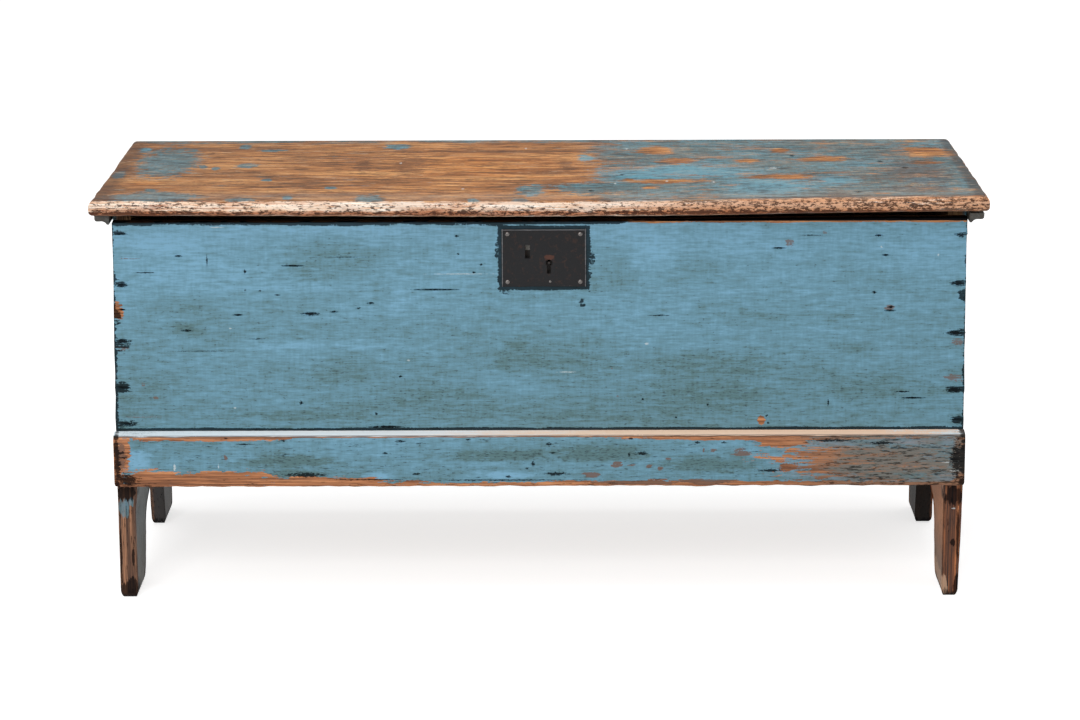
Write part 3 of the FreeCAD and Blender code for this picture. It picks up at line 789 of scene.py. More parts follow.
class Board:
    """A material laid on in coats. The grain runs along the first of its own coordinates."""

    def __init__(self, name: str, effects: Effects, face_marks: Iterable[Mark] = (), grain: Axis = X,
                 face: Axis = Y, scales: Triple = (1.0, 1.0, 1.0)) -> None:
        """Begin the material.

        Args:
            name: Name of the material.
            effects: The shared effects.
            face_marks: The marks of its face.
            grain: The way that the grain runs.
            face: The normal of the face that carries the marks.
            scales: How many times finer than usual its pattern is, along the grain and across it.
        """
        self.material = bpy.data.materials.new(name)
        self.material.use_nodes = True
        self.graph = Graph(self.material.node_tree)
        self.shader = self.material.node_tree.nodes["Principled BSDF"]
        self.effects = effects
        self.face_marks = tuple(face_marks)
        self.face = face
        graph = self.graph
        self.where = graph.add("ShaderNodeTexCoord").outputs["Object"]
        self.lie = graph.part(self.where)
        order = {X: (0, 1, 2), Y: (1, 0, 2), Z: (2, 1, 0)}[grain]
        self.along = graph.stretch(graph.join(*(self.lie[axis] for axis in order)), scales)
        self.wander = {"soft": self._wander(45.0, 210.0, 1.7), "pointed": self._wander(240.0, 800.0, 2.6)}
        self.level = graph.use(effects.breakup, {"Vector": self.along}).outputs[0]
        self.colour: Source = (0.5, 0.5, 0.5, 1.0)
        self.height: Source = 0.0
        self.sheen: Source = 1.0

    def _wander(self, along: float, across: float, reach: float) -> Socket:
        """Give ragged offsets within the marked face.

        Args:
            along: Fineness along the grain.
            across: Fineness across it.
            reach: Size of the offsets, in radii of a mark.

        Returns:
            The offsets.
        """
        plugs = {"Vector": self.along, "Along": along, "Across": across}
        offset = self.graph.use(self.effects.wander, plugs).outputs[0]
        return self.graph.vector("MULTIPLY", offset, (reach, reach, 0.0))

    def marked(self, layer: Layer) -> Socket:
        """Give the strongest of the marks of one layer at each point.

        Args:
            layer: The layer.

        Returns:
            Its strength, 0 to 1.
        """
        state = self.graph.join(*(self.lie[axis.value] for axis in Axis if axis is not self.face))
        outline = layer.value[1]
        for mark in self.face_marks:
            if mark.layer is layer:
                plugs = {"State": state, "Wander": self.wander[outline],
                         "Centre": (*(place * MM for place in mark.centre), 0.0),
                         "Radii": (*(radius * MM for radius in mark.radii), FAR)}
                state = self.graph.use(self.effects.spots[outline], plugs).outputs[0]
        return self.graph.part(state)[2]

    def near(self, axis: Axis, place: float, width: float) -> Socket:
        """Fall from 1 at a place along an axis to 0 a width away from it, on both sides."""
        away = self.graph.math("ABSOLUTE", self.graph.math("SUBTRACT", self.lie[axis.value], place))
        return self.graph.span(away, 0.0, width, 1.0, 0.0)

    def ends(self, axis: Axis, low: float, high: float, *widths: float) -> Socket:
        """Fall from 1 at each of two places to 0 a width away, where the second may have its own width."""
        return self.graph.most(self.near(axis, low, widths[0]), self.near(axis, high, widths[-1]))

    def beyond(self, axis: Axis, start: float, end: float) -> Socket:
        """Rise from 0 at a start to 1 at an end along an axis."""
        return self.graph.span(self.lie[axis.value], start, end)

    def worn(self, amount: Source, soft: float = 0.06) -> Socket:
        """Break up a mask as wear does.

        Args:
            amount: How worn it is, from empty at 0 to whole at 1.
            soft: Softness of its outlines.

        Returns:
            The broken mask.
        """
        graph = self.graph
        lifted = graph.math("MULTIPLY_ADD", amount, 1.0 + 2 * soft, -soft)
        return graph.span(graph.math("SUBTRACT", lifted, self.level), -soft, soft)

    def patches(self, where: Source, amount: float, soft: float = 0.06) -> Socket:
        """Break up a mask that is worn by an amount of 0 to 1 at its strongest."""
        return self.worn(self.graph.times(where, amount), soft)

    def streaks(self, amount: Source) -> Socket:
        """Give fine streaks along the grain, more of them where an amount of 0 to 1 is greater."""
        fine = self.graph.cloud(self.along, (52.0, 400.0, 400.0), (9.1, 2.7, 4.3), rough=0.75)
        return self.graph.span(self.graph.total(fine, (amount, 0.2)), 0.64, 0.72)

    def wood(self, colours: WoodColours) -> Socket:
        """Colour bare wood by its grain, and let the height of the first wood laid follow it.

        Args:
            colours: Its colours.

        Returns:
            The colour.
        """
        graph = self.graph
        grain = graph.use(self.effects.grain, {"Vector": self.along}).outputs
        base = graph.ramp(grain["Fibres"], (0.32, colours.dark), (0.5, colours.mid), (0.67, colours.pale))
        base = graph.mix(graph.times(grain["Rings"], 0.32), base, colours.dark)
        if self.height == 0.0:
            self.height = graph.total(0.0, (grain["Rings"], -0.3), (grain["Fibres"], 0.6))
        return graph.mix(graph.times(grain["Pores"], 0.5), base, colours.grime)

    def paint(self, colours: PaintColours, dirt: Source) -> Socket:
        """Colour old paint.

        Args:
            colours: Its colours.
            dirt: Its dirt, about -1 to 1.

        Returns:
            The colour.
        """
        graph = self.graph
        skin = graph.use(self.effects.old_paint, {"Vector": self.along, "Dirt": dirt}).outputs
        base = graph.ramp(skin["Tone"], (0.12, colours.light), (0.46, colours.mid), (0.88, colours.dirty))
        return graph.mix(graph.times(skin["Specks"], 0.65), base, colours.speck)

    def lay(self, colour: Source, *shares: Source, rise: float = 0.0) -> None:
        """Lay a coat over what is there.

        Args:
            colour: Colour of the coat.
            shares: Where it lies, as numbers of 0 to 1 that are multiplied.
            rise: How far it stands over what is under it, in units of the height.
        """
        share = self.graph.times(*shares)
        self.colour = self.graph.mix(share, self.colour, colour)
        if rise:
            self.height = self.graph.total(self.height, (share, rise))

    def blacken(self, *shares: Source) -> None:
        """Lay dull black over what is there: grime, and in some places painted shade.

        Args:
            shares: As for lay.
        """
        share = self.graph.times(*shares)
        self.lay(GRIME_AND_SHADE_BLACK, share)
        self.sheen = self.graph.times(self.sheen, self.graph.less(share))

    def close(self, rough: Source = 0.6, shine: float = 0.3, bump: float = 0.4,
              reach: float = 0.0008) -> Material:
        """Feed the shader.

        Args:
            rough: Roughness.
            shine: Specular level.
            bump: Strength of the bump.
            reach: Depth of one unit of height.

        Returns:
            The finished material.
        """
        graph = self.graph
        graph.plug(self.shader.inputs["Base Color"], self.colour)
        graph.plug(self.shader.inputs["Roughness"], rough)
        graph.plug(self.shader.inputs["Specular IOR Level"], graph.times(self.sheen, shine))
        plugs = {"Height": self.height, "Strength": bump, "Distance": reach}
        graph.plug(self.shader.inputs["Normal"], graph.add("ShaderNodeBump", plugs).outputs[0])
        return self.material


@dataclass(frozen=True)
class IronFinish:
    """Old iron: a dark skin with pits, light rust and worn places.

    Attributes:
        name: Name of its material.
        skin: Colour of most of it.
        rust: Colour of its rust.
        rusty: How much of it is rusty, 0 to 1.
        metallic: Metallic share of the skin.
        roughness: Roughness of the skin.
    """

    name: str
    skin: Colour
    rust: Colour
    rusty: float
    metallic: float
    roughness: float = 0.6

    def begin(self, effects: Effects) -> Board:
        """Lay the skin and its rust.

        Args:
            effects: The shared effects.

        Returns:
            The material, still open.
        """
        board = Board(self.name, effects)
        graph = board.graph
        skin = graph.use(effects.iron_skin, {"Vector": board.where}).outputs
        rust = graph.times(skin["Rust"], self.rusty)
        board.lay(self.skin, 1.0)
        board.lay(self.rust, rust)
        board.lay(GRIME_AND_SHADE_BLACK, skin["Pits"], 0.3)
        board.height = graph.total(0.0, (skin["Pits"], -0.4), (skin["Marks"], 1.0))
        graph.plug(board.shader.inputs["Metallic"], graph.span(rust, 0.0, 1.0, self.metallic, 0.0))
        return board

    def build(self, effects: Effects) -> Material:
        """Make the material."""
        return self.begin(effects).close(self.roughness, 0.3, 0.35, 0.0005)


PLATE_IRON = IronFinish("lock_plate_iron", shade(24, 24, 26), shade(92, 60, 44), 0.25, 0.0)
LOCK_IRON = IronFinish("nail_iron", shade(46, 42, 40), shade(84, 54, 38), 0.5, 0.3, 0.5)
BOLT_STEEL = IronFinish("bolt_steel", shade(104, 102, 98), shade(80, 58, 44), 0.5, 0.7, 0.5)
RUBBED_IRON = IronFinish("rubbed_iron", shade(106, 102, 100), shade(80, 58, 48), 0.4, 0.85, 0.25)
HINGE_IRON = IronFinish("hinge_iron", shade(70, 60, 54), shade(104, 66, 44), 0.6, 0.5, 0.6)
SCREW_IRON = IronFinish("screw_iron", shade(110, 104, 98), shade(104, 66, 44), 0.4, 0.6, 0.5)
CUT_NAIL_IRON = IronFinish("cut_nail_iron", shade(46, 40, 36), shade(86, 54, 38), 0.5, 0.3, 0.65)


def dent(piece: Workpiece, mark: Mark, face: float, depth: float) -> None:
    """Hollow a mark out of a board's front face.

    Args:
        piece: The board.
        mark: The mark.
        face: Where the face is, along Y.
        depth: Depth of the hollow.
    """
    x, z = (place * MM for place in mark.centre)
    half_x, half_z = (radius * MM for radius in mark.radii)
    piece.cut_by(Workpiece.ball("dent", (x, face, z), (half_x, depth, half_z)))


SPREAD = {-1: 0.0028, 1: 0.0018}


def spreading(spot: Vector) -> float:
    """Weigh how far down the case a point is, where its boards have spread to the sides."""
    return ramp(spot.z, 0.50, 0.24)


@dataclass
class Part:
    """A sub-assembly of the chest.

    Attributes:
        effects: The shared effects.
    """

    effects: Effects


@dataclass
class FrontBoard(Part):
    """The painted front board, mortised for the lock.

    Attributes:
        slice_size: Distance between the cuts that let its edges wear.
        arris: Rounding of its edges.
        dent_depth: Depth of its larger nicks.
        edge_wear: Depth of the wear along its outline.
        lift: How far its upper right corner has risen.
        skirt_shade_line: Height of the black line of dirt and painted shade in the corner over the skirt.
        plate_dirt: Width of the dirt about the lock plate.
    """

    slice_size: float = 0.009
    arris: float = 0.0016
    dent_depth: float = 0.0025
    edge_wear: float = 0.0035
    lift: float = 0.004
    skirt_shade_line: float = 0.2437
    plate_dirt: float = 0.0095

    def model(self) -> Workpiece:
        """Shape the board: its mortise, its splits, its worn edges and its slight lift towards the right.

        Returns:
            The board.
        """
        low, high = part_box("front_board")
        case_low, case_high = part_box("lock_case")
        piece = Workpiece("front_board_worn", low, high)
        piece.cut_by(Workpiece("mortise", (case_low.x, low.y - OVER, case_low.z), case_high))
        piece.round_edges(self.arris, 3, lambda middle, way: self.outer(middle, low, high))
        for mark in FRONT_MARKS:
            if mark.layer is Layer.NICK and mark.radii[0] > 5 and mark.radii[1] > 1.2:
                dent(piece, mark, low.y, self.dent_depth)
        piece.slice_at(X, steps(low.x, high.x, self.slice_size))
        piece.slice_at(Z, [low.z + 0.004, high.z - 0.004] + steps(low.z, high.z, 0.03))
        piece.lean(Z, self.lift, lambda spot: ramp(spot.z, high.z - 0.03, high.z) * ramp(spot.x, 0.0, high.x))
        piece.wear_down(self.edge_wear, 0.02, lambda spot: self._edge(spot, low, high))
        for way, amount in SPREAD.items():
            piece.lean(X, way * amount, lambda spot: spreading(spot) * ramp(spot.x * way, 0.4, high.x))
        return piece

    @staticmethod
    def outer(middle: Vector, low: Vector, high: Vector) -> bool:
        """Tell an edge of the block from one of the mortise."""
        return sum(abs(middle[axis] - end[axis]) < SNUG for axis in range(3) for end in (low, high)) >= 2

    @staticmethod
    def _edge(spot: Vector, low: Vector, high: Vector) -> float:
        """Weigh the front face's outline, where the board is most worn."""
        inside = min(spot.x - low.x, high.x - spot.x, high.z - spot.z, spot.z - low.z)
        return ramp(inside, 0.003, 0.0) * ramp(spot.y, high.y, low.y)

    def dress(self) -> Material:
        """Paint the board, with black grime and painted shade in the gap under the lid and in the corner over the
        skirt.

        Returns:
            The paint.
        """
        low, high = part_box("front_board")
        board = Board("blue_front", self.effects, FRONT_MARKS)
        graph, marked = board.graph, board.marked
        times, less, most, total = graph.times, graph.less, graph.most, graph.total
        board.lay(board.wood(PINE), 1.0)
        right = board.beyond(X, 0.09, 0.15)
        arris = times(board.near(Z, high.z, 0.005), right, 0.8)
        bare = board.worn(most(marked(Layer.BARE), arris))
        cut_ends = board.ends(X, low.x - 0.001, high.x + 0.001, 0.006)
        inner = times(board.beyond(Y, low.y + 0.003, low.y + 0.006), less(cut_ends))
        # The paint is darker towards the bottom, by lowness.
        lowness = board.beyond(Z, high.z, 0.25)
        dirt = total(-0.02, (marked(Layer.DIRT), 0.4), (marked(Layer.LIGHT), -0.4), (lowness, 0.64))
        board.lay(board.paint(OLD_BLUE, dirt), less(most(bare, inner)), rise=0.5)
        board.lay(SCAR, board.patches(marked(Layer.BROWN), 0.55, 0.12), 0.75)
        board.lay(DRIED_WHITE, marked(Layer.PALE), 0.5)
        # Dirt and painted shade: a dark line in the corner where the board meets the top of the skirt.
        foot = times(board.near(Z, self.skirt_shade_line, 0.0052), 0.9)
        sides = times(board.ends(X, low.x - 0.001, high.x + 0.001, 0.009, 0.008), 0.7,
                      board.beyond(Y, low.y + 0.012, low.y + 0.003))
        splits = times(marked(Layer.DARK), 0.6)
        # Grime and painted shade: the board's top edge, in the dark gap under the lid, is blackened.
        under_lid_shade = times(board.beyond(Z, high.z - 0.010, high.z + 0.001), less(right), 0.9)
        grime = board.worn(most(foot, sides, splits, under_lid_shade, self._around_plate(board)), 0.08)
        # Painted shade: the board's top face, seen in the gap under the lid, is laid black, fading towards the
        # back.
        left_top_shade = times(board.beyond(Z, high.z - 0.0012, high.z - 0.0004), less(right))
        top = most(left_top_shade, board.beyond(Z, high.z - 0.0004, high.z + 0.0002))
        top = times(top, graph.span(board.lie[1], low.y + 0.010, low.y + 0.018, 1.0, 0.8))
        board.blacken(most(times(grime, 0.88), times(marked(Layer.NICK), 0.96), top))
        return board.close(0.55)

    def _around_plate(self, board: Board) -> Socket:
        """Give the dirt that has gathered about the lock plate.

        Args:
            board: The board's material.

        Returns:
            The dirt, 0 to 1.
        """
        low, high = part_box("lock_plate")
        graph = board.graph
        aside = []
        for axis in (X.value, Z.value):
            middle, half = (low[axis] + high[axis]) / 2, (high[axis] - low[axis]) / 2
            away = graph.math("ABSOLUTE", graph.math("SUBTRACT", board.lie[axis], middle))
            aside.append(graph.math("SUBTRACT", away, half))
        return graph.span(graph.most(*aside), 0.0, self.plate_dirt, 1.0, 0.0)

    def make(self) -> bpy.types.Object:
        """Model and dress the board."""
        return self.model().finish(self.dress(), "chest", "case_paint", "front_board")


FRONT_MARKS = (
    marks(Layer.DIRT,
    (-494, 418, 53.1, 15.5), (-287, 480, 68.1, 30.9), (-266, 330, 45, 18.5), (-318, 264, 95.9, 6.4),
    (-487, 387, 20.7, 12), (33.1, 348, 97.5, 37.6), (-122, 280, 82.6, 23.6), (219, 332, 94.1, 22),
    (241, 291, 67.2, 25), (437, 358, 32.4, 11.3), (-218, 437, 15.2, 23.2),
    ) + marks(Layer.LIGHT,
    (-514, 507, 45.4, 15.4), (-318, 447, 60.6, 7.7), (155, 482, 30.2, 38.5), (-303, 364, 111, 7.1),
    ) + marks(Layer.NICK,
    (-574, 521, 9.6, 1.4), (-575, 449, 9, 2.8), (-576, 415, 6.2, 1.4), (-581, 396, 4.8, 1.4),
    (-577, 370, 12.5, 3.9), (-577, 304, 12.5, 2.5), (-572, 252, 9, 2.2), (-496, 490, 5.5, 1.5),
    (-542, 467, 15.8, 1.1), (-405, 468, 2.2, 3.9), (-339, 476, 16.5, 1.4), (-267, 488, 48.1, 0.6),
    (-385, 441, 2.1, 1.4), (-361, 435, 4.1, 1.5), (-416, 407, 6.9, 1.6), (-316, 408, 13.8, 3.1),
    (-283, 411, 5.5, 1.7), (-250, 416, 4.1, 1.7), (-233, 423, 5.5, 1.8), (-487, 385, 8.3, 1.8),
    (-389, 373, 12.4, 1), (-465, 356, 56.1, 0.6), (-331, 282, 3.6, 3.1), (-227, 266, 2.5, 2.3),
    (-405, 442, 1.7, 1.7), (-111, 492, 2.7, 1.7), (-80, 477, 2.7, 1.7), (-89.7, 466, 2.8, 1.7),
    (-113, 517, 2.7, 2.1), (-193, 319, 3, 1.9), (-142, 442, 33.1, 1.4), (-213, 247, 25.7, 2.2),
    (329, 499, 10.3, 1.5), (373, 517, 19.2, 0.8), (165, 405, 17.9, 1.1), (483, 411, 8.3, 1.6),
    (484, 416, 4.7, 2.5), (461, 437, 4.1, 2.3), (476, 489, 5.5, 1.4), (466, 516, 5.5, 1.4),
    (315, 262, 2.1, 2.1), (317, 252, 2.1, 2.1), (233, 278, 2.2, 2), (143, 286, 2.1, 1.9),
    (189, 260, 2.2, 1.7), (578, 517, 9.6, 1.4), (577, 449, 12.4, 4.2), (585, 427, 1.7, 7),
    (575, 379, 15.2, 3.9), (575, 298, 14.5, 3.9), (503, 296, 12.5, 1.2), (517, 287, 18, 1.4),
    (580, 256, 11.1, 1.8), (400, 281, 1.4, 5.7), (-457, 484, 1.4, 8.4),
    ) + marks(Layer.DARK,
    (-577, 366, 15.2, 10.6), (-581, 306, 13.9, 10.7), (-577, 450, 12.4, 5.6), (-584, 403, 7.6, 12.7),
    (-577, 523, 11, 4.9), (-578, 252, 18.1, 6.5), (69.2, 477, 4.8, 38.6), (-47.9, 440, 10.3, 4.2),
    (-57.8, 497, 4.1, 16.8), (-45.8, 440, 8.3, 7), (59.5, 423, 4.8, 9.9), (-52.7, 445, 5.5, 4.9),
    (74, 484, 4.1, 12.6), (579, 449, 13.1, 7), (579, 380, 15.2, 5.7), (584, 434, 8.3, 11.3),
    (577, 298, 16.6, 8.6), (582, 257, 12.5, 7.2), (580, 517, 10.3, 7),
    ) + marks(Layer.BROWN,
    (-563, 487, 24.1, 1), (-550, 262, 25, 1.1), (-577, 360, 11.8, 3.9), (-550, 309, 3.6, 3.4),
    (-532, 290, 4.2, 2.3), (109, 290, 4.2, 2), (100, 329, 2.8, 2.8), (117, 316, 2.8, 2.3),
    (392, 521, 4.1, 2.8), (578, 367, 9.7, 7.8), (575, 314, 15.2, 6.4), (344, 505, 7.5, 9.8),
    (483, 415, 8.3, 6.3),
    ) + marks(Layer.BARE,
    (-582, 412, 7.6, 13.4), (308, 256, 5.6, 6.8),
    ) + marks(Layer.PALE,
    (-427, 388, 2.2, 1.4), (-423, 275, 2.2, 1.4), (-181, 342, 2.2, 1.4), (148, 365, 3.9, 1.6),
    (470, 500, 2.1, 1.7), (548, 489, 2.1, 1.7), (-109, 464, 48.2, 0.7), (37.9, 325, 15.2, 0.9),
    (-442, 530, 11.7, 1),
    )
)


@dataclass
class BackBoard(Part):
    """The back board, let in for the hinges.

    Attributes:
        recess: Depth of the recesses for the hinges' leaves.
        arris: Rounding of its edges.
        edge_wear: Depth of the wear along its outline.
    """

    recess: float = 0.0022
    arris: float = 0.0014
    edge_wear: float = 0.002

    def model(self) -> Workpiece:
        """Shape the board and its two recesses.

        Returns:
            The board.
        """
        low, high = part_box("back_board")
        piece = Workpiece("back_board_worn", low, high)
        for side, _ in SIDES:
            leaf_low, leaf_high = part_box(f"hinge_{side}_body_leaf")
            piece.cut_by(Workpiece("recess", (leaf_low.x, leaf_low.y, high.z - self.recess),
                                   (leaf_high.x, high.y + OVER, high.z + OVER)))
        piece.round_edges(self.arris, 2, lambda middle, way: abs(way.x) + abs(way.z) > 0.9
                          and FrontBoard.outer(middle, low, high))
        piece.slice_at(X, steps(low.x, high.x, 0.02))
        piece.slice_at(Z, [low.z + 0.004, high.z - 0.004] + steps(low.z, high.z, 0.04))
        piece.wear_down(self.edge_wear, 0.03, lambda spot: ramp(spot.y, low.y, high.y)
                        * ramp(min(spot.x - low.x, high.x - spot.x, spot.z - low.z), 0.003, 0))
        return piece

    def make(self) -> bpy.types.Object:
        """Model and dress the board.

        Returns:
            The finished object.
        """
        low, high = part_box("back_board")
        board = Board("worn_back", self.effects)
        graph = board.graph
        board.lay(board.wood(AGED_PINE), 1.0)
        sides = graph.most(board.ends(X, low.x, high.x, 0.03), board.near(Z, low.z, 0.04))
        outer = board.beyond(Y, high.y - 0.006, high.y - 0.003)
        painted = graph.times(graph.less(board.worn(graph.most(sides, 0.35), 0.2)), outer)
        board.lay(board.paint(OLD_BLUE, 0.5), painted, rise=0.5)
        board.lay(GRIME_AND_SHADE_BLACK, board.patches(sides, 0.5, 0.2), outer, 0.7)
        return self.model().finish(board.close(0.65), "chest", "bare_wood", "back_board")


@dataclass
class Skirt(Part):
    """The base board along the front.

    Attributes:
        bevel: How far its top slopes down to the front.
        arris: Rounding of its edges.
        edge_wear: Depth of the wear of its lower edge.
        left_spread: How far its left end has moved out.
        crack: Where the seam in its sloping top lies, along Y.
    """

    bevel: float = 0.004
    arris: float = 0.0022
    edge_wear: float = 0.004
    left_spread: float = 0.0042
    crack: float = -0.2435

    def model(self) -> Workpiece:
        """Shape the board and wear its edges.

        Returns:
            The board.
        """
        low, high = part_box("skirt_board")
        piece = Workpiece("skirt_board_worn", low, high)
        piece.push((0, 0, -self.bevel), Kind.EDGES, lambda middle, way: abs(way.x) > 0.9
                   and middle.y < low.y + SNUG and middle.z > high.z - SNUG)
        piece.round_edges(self.arris, 3, lambda middle, way: middle.y < low.y + SNUG
                          or abs(way.y) > 0.9 and middle.z < low.z + SNUG)
        piece.slice_at(X, steps(low.x, high.x, 0.007))
        piece.slice_at(Z, [low.z + 0.005, high.z - 0.009] + steps(low.z, high.z, 0.012))
        piece.slice_at(Y, [low.y + 0.005])
        piece.wear_down(self.edge_wear, 0.022, lambda spot: ramp(spot.z, low.z + 0.006, low.z) * 0.9
                        + ramp(spot.z, high.z - 0.010, high.z - 0.005) * ramp(spot.y, low.y + 0.006, low.y))
        for way, amount in ((-1, self.left_spread), (1, SPREAD[1])):
            piece.lean(X, way * amount, lambda spot: ramp(spot.x * way, 0.4, high.x))
        return piece

    def dress(self) -> Material:
        """Paint the board.

        Returns:
            The paint.
        """
        low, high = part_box("skirt_board")
        board = Board("blue_skirt", self.effects, SKIRT_MARKS)
        graph, marked = board.graph, board.marked
        times, less, most, total = graph.times, graph.less, graph.most, graph.total
        board.lay(board.wood(SKIRT_PINE), 1.0)
        right = board.beyond(X, 0.30, 0.46)
        film = times(right, board.beyond(Z, low.z + 0.004, low.z + 0.016))
        board.lay(shade(122, 96, 78), right, 0.6)
        board.lay(shade(98, 108, 106), board.patches(film, 0.58, 0.2), 0.8)
        foot, arris = board.near(Z, low.z, 0.010), board.near(Z, high.z - self.bevel, 0.0022)
        kept = most(times(marked(Layer.PAINT), 0.45), times(right, 0.22))
        bare = times(marked(Layer.BARE), less(kept))
        bare = board.worn(most(bare, foot, arris, board.ends(X, low.x, high.x, 0.02, 0.03)), 0.08)
        dirt = total(0.45, (marked(Layer.DIRT), 0.9), (marked(Layer.LIGHT), -1.1), (right, 0.3))
        painted = times(less(bare), less(times(right, 0.45)))
        board.lay(board.paint(OLD_BLUE, dirt), painted, rise=0.5)
        board.lay(SCAR, board.patches(marked(Layer.BROWN), 0.72, 0.1), 0.85)
        board.blacken(board.streaks(total(0.12, (right, 0.5), (foot, 0.3))), 0.75)
        board.lay(DRIED_WHITE, marked(Layer.PALE), 0.6)
        self._top_dust_and_highlight(board, high)
        ends = board.ends(X, low.x, high.x, 0.008, 0.014)
        grime = most(times(ends, 0.7), times(board.near(Z, low.z, 0.004), 0.5))
        board.blacken(most(board.worn(grime, 0.15), marked(Layer.NICK)), 0.9)
        return board.close(0.55)

    def _top_dust_and_highlight(self, board: Board, high: Vector) -> None:
        """Lay the pale coat of the sloping top, bluish to the left and peach to the right, partly pale dust and
        worn paint and partly a painted highlight of the light from above.

        Args:
            board: The board's material.
            high: The board's highest corner.
        """
        graph = board.graph
        across = graph.total(0.40, (board.lie[0], 0.81), (board.level, 0.25))
        # Painted highlight and pale dust: the sloping top is coloured near white where it catches the light from
        # above.
        pale = graph.ramp(across, (0.0, shade(150, 158, 160)), (0.07, shade(232, 244, 250)),
                          (0.42, shade(246, 246, 246)), (0.58, shade(255, 222, 196)),
                          (0.94, shade(255, 214, 184)), (1.0, shade(230, 236, 238)))
        arris = high.z - self.bevel
        board.lay(pale, board.beyond(Z, arris - 0.0002, arris + 0.0004))
        crack = graph.times(board.near(Y, self.crack, 0.0022), board.worn(0.75, 0.1), 0.75)
        board.lay(shade(96, 84, 82), crack)
        board.lay(GRIME_AND_SHADE_BLACK, board.near(Z, arris - 0.0004, 0.0007), 0.7)

    def make(self) -> bpy.types.Object:
        """Model and dress the board."""
        return self.model().finish(self.dress(), "chest", "skirt_paint", "skirt_board")


SKIRT_MARKS = (
    marks(Layer.DIRT,
    (83.4, 213, 55.4, 11.5), (243, 199, 62.4, 12.2), (-346, 204, 63.1, 9), (-339, 185, 47.2, 5.7),
    (-55.2, 211, 83.2, 8.6),
    ) + marks(Layer.LIGHT,
    (-559, 206, 15.3, 13.3), (-225, 183, 22.2, 5.4), (-43.6, 183, 43.7, 5.7),
    ) + marks(Layer.BARE,
    (-580, 215, 13.2, 25.1), (-540, 179, 54.2, 14.4), (-444, 177, 97.3, 12.6), (-292, 172, 125, 8.6),
    (205, 169, 399, 6.1), (335, 230, 41.5, 7.1), (454, 201, 149, 26.5), (-462, 237, 130, 5),
    (343, 236, 259, 3.9),
    ) + marks(Layer.PAINT,
    (372, 201, 29.1, 9), (305, 193, 22.9, 7.2), (260, 183, 29.1, 4.3), (419, 178, 22.2, 4.1),
    (530, 205, 31.2, 5.7),
    ) + marks(Layer.BROWN,
    (-582, 210, 9, 20.8), (-436, 209, 3.1, 4.3), (107, 198, 11.1, 5.4), (70.9, 184, 13.9, 4.3),
    (151, 195, 4.7, 3.4), (178, 206, 4.7, 1.7), (167, 192, 4.4, 3.7), (128, 197, 8.3, 1.9),
    (227, 218, 1.9, 4.3), (240, 218, 5.5, 3.4), (280, 213, 16.6, 8.5), (132, 172, 62.5, 3.6),
    (231, 173, 47.2, 4.3),
    ) + marks(Layer.NICK,
    (-586, 200, 4.9, 33), (-580, 216, 11.8, 2.1), (-574, 177, 20.2, 10.8), (-577, 209, 6.9, 1.7),
    (-409, 228, 13.2, 1.1), (-214, 215, 4.4, 1.9), (-194, 232, 6.9, 2.3), (-99.4, 234, 4.2, 1.4),
    (12.2, 227, 4.8, 2.9), (18.3, 215, 6.9, 1.3), (-171, 185, 6.9, 2.3), (-9.5, 199, 3.1, 4.9),
    (-17.9, 193, 2.8, 1.7), (-44.3, 181, 5.6, 2), (142, 214, 8.3, 2.9), (124, 212, 2.2, 4),
    (126, 235, 4.2, 1.4), (218, 229, 4.4, 1.9), (255, 229, 4.2, 1.9), (320, 189, 21.5, 2.6),
    (404, 232, 36, 2.3), (474, 228, 24.2, 2.3), (578, 204, 12.5, 30.8), (-324, 184, 32.6, 4),
    (21.6, 185, 21.5, 2.9), (-236, 177, 55.6, 1.2), (-48.5, 176, 132, 1.1), (-356, 233, 4.2, 1.7),
    (-435, 236, 4.2, 1.4),
    ) + marks(Layer.PALE,
    (-507, 195, 1.8, 6.1), (-446, 196, 1.1, 3.6), (574, 188, 11.1, 1.4), (567, 200, 12.5, 1),
    )
)


